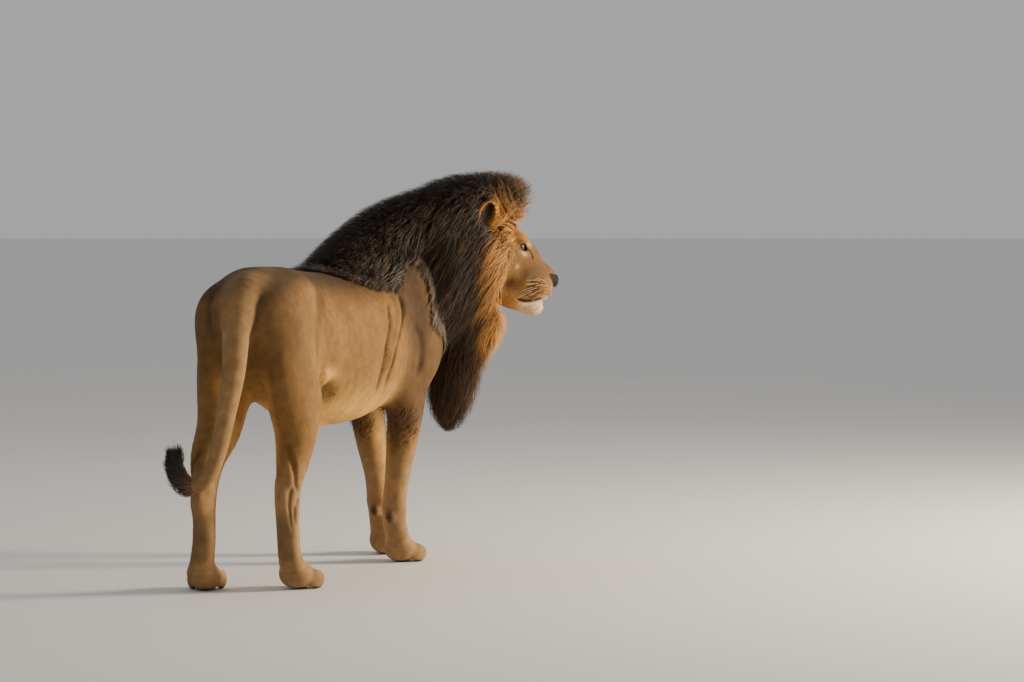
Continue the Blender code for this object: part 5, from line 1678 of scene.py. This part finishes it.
# the mane's border, where it thins out over the short coat
border = ramp(m_depth, -0.008, 0.006) * (1 - ramp(m_depth, 0.030, 0.05)) * (is_head < 0.5)
p, n, w, col, r = roots(np.where(~m_ear & ~bare, 38000.0 * border, 0.0), 24)
g = mane_flow(p)
t = unit_rows(g - (g * n).sum(1)[:, None] * n)
high = ramp(p[:, 2], 0.84, 0.92) * ramp(0.20 - p[:, 1], 0.0, 0.05)
length = (0.042 + 0.014 * high) * r.uniform(0.5, 1.4, len(p))
P = lay(p, n, jitter(t, n, r, 0.32), length, (0.50 + 0.35 * high) * r.uniform(0.5, 1.3, len(p)), 3, 0.7)
P = clump(P, r, 7, (0.2, 0.8), 0.004)
edge = ramp(-mane_dist(MANE, p), -0.010, 0.020)[:, None]
dk = mane_colour(p, np.full(len(p), 0.6), r.random(len(p)))
fore = ramp(p[:, 1], 0.24, 0.30) * ramp(p[:, 2], 0.70, 0.80) * r.uniform(0.0, 1.0, len(p))
dk = mix(dk, AMBER * 0.85, 0.75 * fore)
strands("mane_border", P, n, 0.0013 * r.uniform(0.6, 1.4, len(p)), np.full(len(p), 0.0007),
        col * (1 - edge) * 0.8 + dk * edge, col * (1 - edge) + dk * 1.1 * edge, unwrap(p, w), LONG, shade=n, soft=0.6)
tick(f"border {len(p)}")

# the ruff of the face: short golden hair over the temples, brow and cheeks, round the ears
mz = mq
zone = ramp(0.108 + 0.010 * ramp(mz[:, 2], 0.05, 0.09) - mz[:, 1], 0.0, 0.012) * ramp(mz[:, 1], -0.16, -0.10) * (m_w[:, 7] > 0.35)
zone *= 1 - ramp(-mz[:, 2], 0.13, 0.16)
p, n, w, col, r = roots(np.where(~m_ear & ~bare, 42000.0 * zone, 0.0), 25)
q = head_frame(p)
rad = unit_rows(np.column_stack([q[:, 0], np.full(len(q), -0.030), q[:, 2] - 0.02]))
g = rad @ HEAD_ROT.T + np.array([0, 0, -0.35])
t = unit_rows(g - (g * n).sum(1)[:, None] * n)
t = jitter(t, n, r, 0.22)
grown = ramp(0.105 - q[:, 1], 0.0, 0.07)
P = lay(p, n, t, (0.012 + 0.034 * grown) * r.uniform(0.6, 1.35, len(p)), (0.42 + 0.25 * grown) * r.uniform(0.6, 1.3, len(p)), 3, 0.6)
P = clump(P, r, 8, (0.2, 0.8), 0.003)
ok = np.ones(len(P), bool)
for s in (-1, 1):
    for j in range(1, 4):
        e = (P[:, j] - EARS[s][0]) @ EARS[s][1] / HEAD_SIZE
        ok &= np.sqrt((e[:, 0] / 0.052) ** 2 + ((e[:, 2] - 0.062) / 0.052) ** 2 + ((e[:, 1] - 0.040) / 0.075) ** 2) > 1.0
rr = r.random(len(P))
gold = mane_colour(p, np.full(len(p), 0.5), rr)
gold = gold * (0.3 + 0.7 * grown)[:, None] + col * (0.7 - 0.7 * grown)[:, None]
P, p, n, w, gold, r_w = P[ok], p[ok], n[ok], w[ok], gold[ok], r.uniform(0.6, 1.4, ok.sum())
strands("face_ruff", P, n, (0.0009) * r_w, 0.00045 * r_w, gold * 0.9, np.minimum(gold * 1.15, 0.9), unwrap(p, w), LONG, shade=n, soft=0.6)
tick(f"ruff {len(p)}")

# the ears: short black fur behind, a golden fringe on the rim and long hair inside its front edge
p, n, w, col, r = roots(np.where(m_ear, 74000.0, 0.0), 26)
P, cols, ws, ups = [], [], [], []
for s in (-1, 1):
    o, A = EARS[s]
    e = (p - o) @ A / HEAD_SIZE
    mine = (ear_dist(p, s) < 0.004) & (e[:, 2] > -0.005)
    e, pp, nn, cc = e[mine], p[mine], n[mine], col[mine]
    away = unit_rows(np.column_stack([e[:, 0], np.zeros(len(e)), e[:, 2] - 0.030])) @ A.T
    rimmed = np.sqrt((e[:, 0] / 0.056) ** 2 + ((e[:, 2] - 0.042) / 0.062) ** 2)
    inside = (e[:, 1] > -0.004) & (rimmed < 0.86)
    fringe = ramp(rimmed, 0.84, 0.97) * ramp(e[:, 1], -0.012, 0.000)
    t = away - (away * nn).sum(1)[:, None] * nn * (1 - 0.8 * fringe)[:, None]
    t = unit_rows(t + 0.12 * r.normal(size=t.shape) + inside[:, None] * A[:, 1] * 0.35)
    ln = (0.007 + 0.006 * fringe + 0.010 * inside) * r.uniform(0.6, 1.3, len(e))
    P.append(lay(pp, nn, t, ln, 0.35 * r.uniform(0.6, 1.4, len(e)), 2, 0.7, 0.0005))
    cols.append(cc)
    ws.append(w[mine])
    ups.append(nn)
P, cols, ws, ups = map(np.concatenate, (P, cols, ws, ups))
tone = r.uniform(0.8, 1.25, len(P))[:, None]
strands("ear_fur", P, ups, 0.0008 * r.uniform(0.6, 1.3, len(P)), np.full(len(P), 0.0004), cols * tone * 0.9, np.minimum(cols * tone * 1.15, 0.9),
        unwrap(P[:, 0], ws), TUFTS, shade=ups, soft=0.6)
tick(f"ears {len(P)}")

# curls behind the elbows
y, z = mid[:, 1], mid[:, 2]
a_ = mid[:, 0] - bend(y)
curl = np.exp(-(((y - 0.27) / 0.060) ** 2 + ((z - 0.475) / 0.065) ** 2)) * ramp(a_, 0.03, 0.08)
curl += np.exp(-(((y - 0.39) / 0.060) ** 2 + ((z - 0.475) / 0.065) ** 2)) * ramp(-a_, 0.03, 0.08)
p, n, w, col, r = roots(24000.0 * np.where(curl > 0.25, curl, 0.0), 27)
t = unit_rows(np.array([0, -0.55, -0.8]) - (n @ np.array([0, -0.55, -0.8]))[:, None] * n)
P = lay(p, n, jitter(t, n, r, 0.35), 0.036 * r.uniform(0.5, 1.3, len(p)), 0.60 * r.uniform(0.6, 1.3, len(p)), 3, 0.5)
P = clump(P, r, 8, (0.4, 0.95), 0.007)
tone = r.uniform(0.65, 1.15, len(p))[:, None]
strands("elbow_curls", P, n, 0.0013 * r.uniform(0.6, 1.4, len(p)), np.full(len(p), 0.0007), mix(col, BROWN, 0.45) * tone,
        mix(col, AMBER, 0.25) * tone, unwrap(p, w), LONG, shade=n, soft=0.5)
tick(f"elbows {len(p)}")

# whiskers
rows = []
r = np.random.default_rng(28)
for s in (-1, 1):
    for row in range(4):
        for k in range(4):
            c = head_point((0.052 * s, 0.185 + 0.0125 * k, -0.062 - 0.0105 * row))
            rows.append((s, row, k, c))
wc = project(skin_dist, np.array([c for *_, c in rows]), 5, 0.02)
wn = gradient(skin_dist, wc)
P = np.empty((len(rows), 6, 3))
for i, (s, row, k, _) in enumerate(rows):
    d = HEAD_ROT @ unit((0.62 * s, -0.62 - 0.10 * (3 - k), -0.05 - 0.12 * row))
    d = unit(d + 0.35 * wn[i] + 0.06 * r.normal(size=3))
    ln = r.uniform(0.060, 0.095)
    for j in range(6):
        f = j / 5
        P[i, j] = wc[i] - wn[i] * 0.001 + d * ln * f + np.array([0, 0, -1.0]) * 0.014 * f * f - HEAD_ROT[:, 1] * 0.012 * f * f
cw = np.tile(rgb(220, 208, 188), (len(rows), 1))
strands("whiskers", P, wn, np.full(len(rows), 0.00048), np.full(len(rows), 0.00045), cw, cw, unwrap(wc, shares(wc)), TUFTS)

# the tail tuft
r = np.random.default_rng(61)
tail = AXIS["tail"]
count = 1700
i = r.choice(np.arange(len(tail.pts) - 13, len(tail.pts) - 1), count)
f = r.random(count)
base = tail.pts[i] * (1 - f)[:, None] + tail.pts[i + 1] * f[:, None]
ang = r.uniform(0, 6.283, count)
out = tail.u[i] * np.cos(ang)[:, None] + tail.v[i] * np.sin(ang)[:, None]
root = base + out * (tail.rad[i, 0] - 0.004)[:, None]
P = np.empty((count, 5, 3))
P[:, 0] = root - out * 0.002
run = r.uniform(0.040, 0.070, count) * (0.80 + 0.15 * (i - i.min()) / (i.max() - i.min()))
along_tail = tail.tan[i]
hook = unit_rows(along_tail + 0.30 * r.normal(size=(count, 3)))
for j in range(1, 5):
    d = unit_rows(along_tail * 0.62 + hook * 0.38 + out * (1.05 - 0.34 * j))
    P[:, j] = P[:, j - 1] + d * (run / 4)[:, None]
P = clump(P, r, 10, (0.1, 0.6), 0.004)
tt = np.clip((i - i.min()) / 6.0, 0, 1)[:, None]
c0 = (rgb(120, 92, 64) * (1 - tt) + BLACK * tt) * r.uniform(0.8, 1.3, count)[:, None]
c1 = BLACK * r.uniform(0.7, 1.8, count)[:, None]
strands("tail_tuft_hair", P, out, 0.0017 * r.uniform(0.6, 1.3, count), np.full(count, 0.0009), c0, c1, unwrap(root, shares(root)), LONG)
tick("tail tuft")
print("coat triangles", sum(c for _, c in pieces))


# ----------------------------------------------------------------------------------------------
# Eyes
# ----------------------------------------------------------------------------------------------
def eye_material():
    """Distance from the gaze axis, written on the points, draws the pupil, iris and rim."""
    m, t, b = material("eye")
    out = attribute(t, "out")
    spin = attribute(t, "spin")
    ramp_ = t.nodes.new("ShaderNodeValToRGB")
    e = ramp_.color_ramp.elements
    e[0].position, e[0].color = 0.0, (0.004, 0.003, 0.003, 1)
    e[1].position, e[1].color = 1.0, (0.06, 0.035, 0.025, 1)
    for at, c in ((0.245, (0.004, 0.003, 0.003, 1)), (0.275, (0.05, 0.022, 0.006, 1)), (0.36, (0.11, 0.048, 0.010, 1)),
                  (0.50, (0.15, 0.070, 0.014, 1)), (0.62, (0.10, 0.048, 0.014, 1)), (0.68, (0.03, 0.018, 0.010, 1)),
                  (0.74, (0.05, 0.028, 0.020, 1)), (0.86, (0.07, 0.045, 0.035, 1))):
        k = e.new(at)
        k.color = c
    wob = node(t, "ShaderNodeTexNoise", Scale=5.0, Detail=3.0)
    t.links.new(spin.outputs["Vector"], wob.inputs["Vector"])
    add = t.nodes.new("ShaderNodeMath")
    add.operation = "MULTIPLY_ADD"
    t.links.new(wob.outputs["Fac"], add.inputs[0])
    add.inputs[1].default_value = 0.020
    t.links.new(out.outputs["Fac"], add.inputs[2])
    t.links.new(add.outputs[0], ramp_.inputs["Fac"])
    rays = node(t, "ShaderNodeTexNoise", Scale=9.0, Detail=4.0)
    t.links.new(spin.outputs["Vector"], rays.inputs["Vector"])
    t.links.new(tint(t, ramp_.outputs["Color"], span(t, rays.outputs["Fac"], 0.70, 1.30)), b.inputs["Base Color"])
    b.inputs["Roughness"].default_value = 0.30
    b.inputs["Specular IOR Level"].default_value = 0.12
    b.inputs["Coat Weight"].default_value = 0.1
    b.inputs["Coat Roughness"].default_value = 0.05
    b.inputs["Coat IOR"].default_value = 1.38
    return m


EYE = eye_material()
for s, name in ((1, "right"), (-1, "left")):
    centre = head_point((EYE_AT[0] * s, EYE_AT[1], EYE_AT[2]))
    gaze = HEAD_ROT @ unit((GAZE[0] * s * 0.85, GAZE[1] * 1.1, GAZE[2]))
    gaze = unit(gaze)
    across = unit(np.cross(gaze, (0, 0, 1.0)))
    upw = np.cross(across, gaze)
    R = EYE_R * HEAD_SIZE * 0.99
    rings, seg = 30, 40
    vs, outs, spins = [centre + gaze * R * 1.035], [0.0], [(0.5, 0.5, 0.0)]
    for i in range(1, rings):
        a = math.pi * i / rings
        # the cornea stands a little proud of the ball
        bulge = R * (1.0 + 0.035 * math.exp(-(a / 0.55) ** 2))
        for k in range(seg):
            th = 2 * math.pi * k / seg
            d = gaze * math.cos(a) + (across * math.cos(th) + upw * math.sin(th)) * math.sin(a)
            vs.append(centre + d * bulge)
            outs.append(min(a / 1.05, 1.0))
            spins.append((math.cos(th) * 1.0, math.sin(th) * 1.0, a * 0.25))
    vs.append(centre - gaze * R)
    outs.append(1.0)
    spins.append((0.5, 0.5, 1.0))
    fs = []
    for k in range(seg):
        fs.append((0, 1 + k, 1 + (k + 1) % seg))
        b0 = 1 + (rings - 2) * seg
        fs.append((len(vs) - 1, b0 + (k + 1) % seg, b0 + k))
    for i in range(rings - 2):
        a0, b0 = 1 + i * seg, 1 + (i + 1) * seg
        for k in range(seg):
            m = (k + 1) % seg
            fs += [(a0 + k, b0 + k, b0 + m), (a0 + k, b0 + m, a0 + m)]
    me = world_mesh("eye", to_world(np.array(vs)), np.array(fs))
    bm = bmesh.new()
    bm.from_mesh(me)
    bmesh.ops.recalc_face_normals(bm, faces=bm.faces)
    bm.to_mesh(me)
    bm.free()
    add_value(me, "out", np.array(outs))
    a = me.attributes.new("spin", "FLOAT_VECTOR", "POINT")
    a.data.foreach_set("vector", np.array(spins, np.float32).ravel())
    ob = put("eyeball_" + name, me, EYE)
    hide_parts("eye_" + name)


# ----------------------------------------------------------------------------------------------
# Floor and light
# ----------------------------------------------------------------------------------------------
def stage():
    m, t, b = material("floor")
    big = streaks(t, 1.0, (0.7, 0.7, 0.7), 3.0)
    n = t.nodes.new("ShaderNodeMapRange")
    n.inputs["To Min"].default_value = 0.96
    n.inputs["To Max"].default_value = 1.03
    t.links.new(big.outputs["Fac"], n.inputs["Value"])
    base = t.nodes.new("ShaderNodeRGB")
    base.outputs[0].default_value = (0.80, 0.79, 0.77, 1)
    t.links.new(tint(t, base.outputs[0], n.outputs[0]), b.inputs["Base Color"])
    b.inputs["Roughness"].default_value = 0.9
    k = 96
    ang = np.arange(k) / k * 2 * math.pi
    v = np.vstack([np.column_stack([400 * np.cos(ang), 400 * np.sin(ang), np.zeros(k)]), [(0, 0, 0)]])
    f = np.column_stack([np.arange(k), (np.arange(k) + 1) % k, np.full(k, k)])
    me = world_mesh("floor", v, f, False)
    me.materials.append(m)
    ob = bpy.data.objects.new("floor", me)
    bpy.context.scene.collection.objects.link(ob)


def light(name, azimuth, height, away, size, power, colour):
    """An area light aimed at the lion; azimuth in degrees from the camera's line, to the right."""
    d = bpy.data.lights.new(name, "AREA")
    d.shape = "DISK"
    d.size = size
    d.energy = power
    d.color = colour
    ob = bpy.data.objects.new(name, d)
    bpy.context.scene.collection.objects.link(ob)
    to = np.array([camera.location.x, camera.location.y])
    base = math.atan2(to[1], to[0]) + math.radians(azimuth)
    ob.location = (away * math.cos(base), away * math.sin(base), height)
    ob.rotation_euler = (Vector((0, 0, 0.75)) - ob.location).to_track_quat("-Z", "Y").to_euler()


stage()
light("key", 92, 1.8, 6.0, 1.5, 800, (1.0, 0.86, 0.66))
light("fill", -25, 3.2, 7.0, 4.5, 10, (0.92, 0.96, 1.0))
light("top", 165, 5.0, 4.0, 3.5, 15, (1.0, 0.98, 0.95))
world = bpy.data.worlds.new("studio")
bpy.context.scene.world = world
world.use_nodes = True
bg = world.node_tree.nodes["Background"]
bg.inputs[0].default_value = (0.82, 0.82, 0.83, 1)
bg.inputs[1].default_value = 0.54

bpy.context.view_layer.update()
tick("scene")
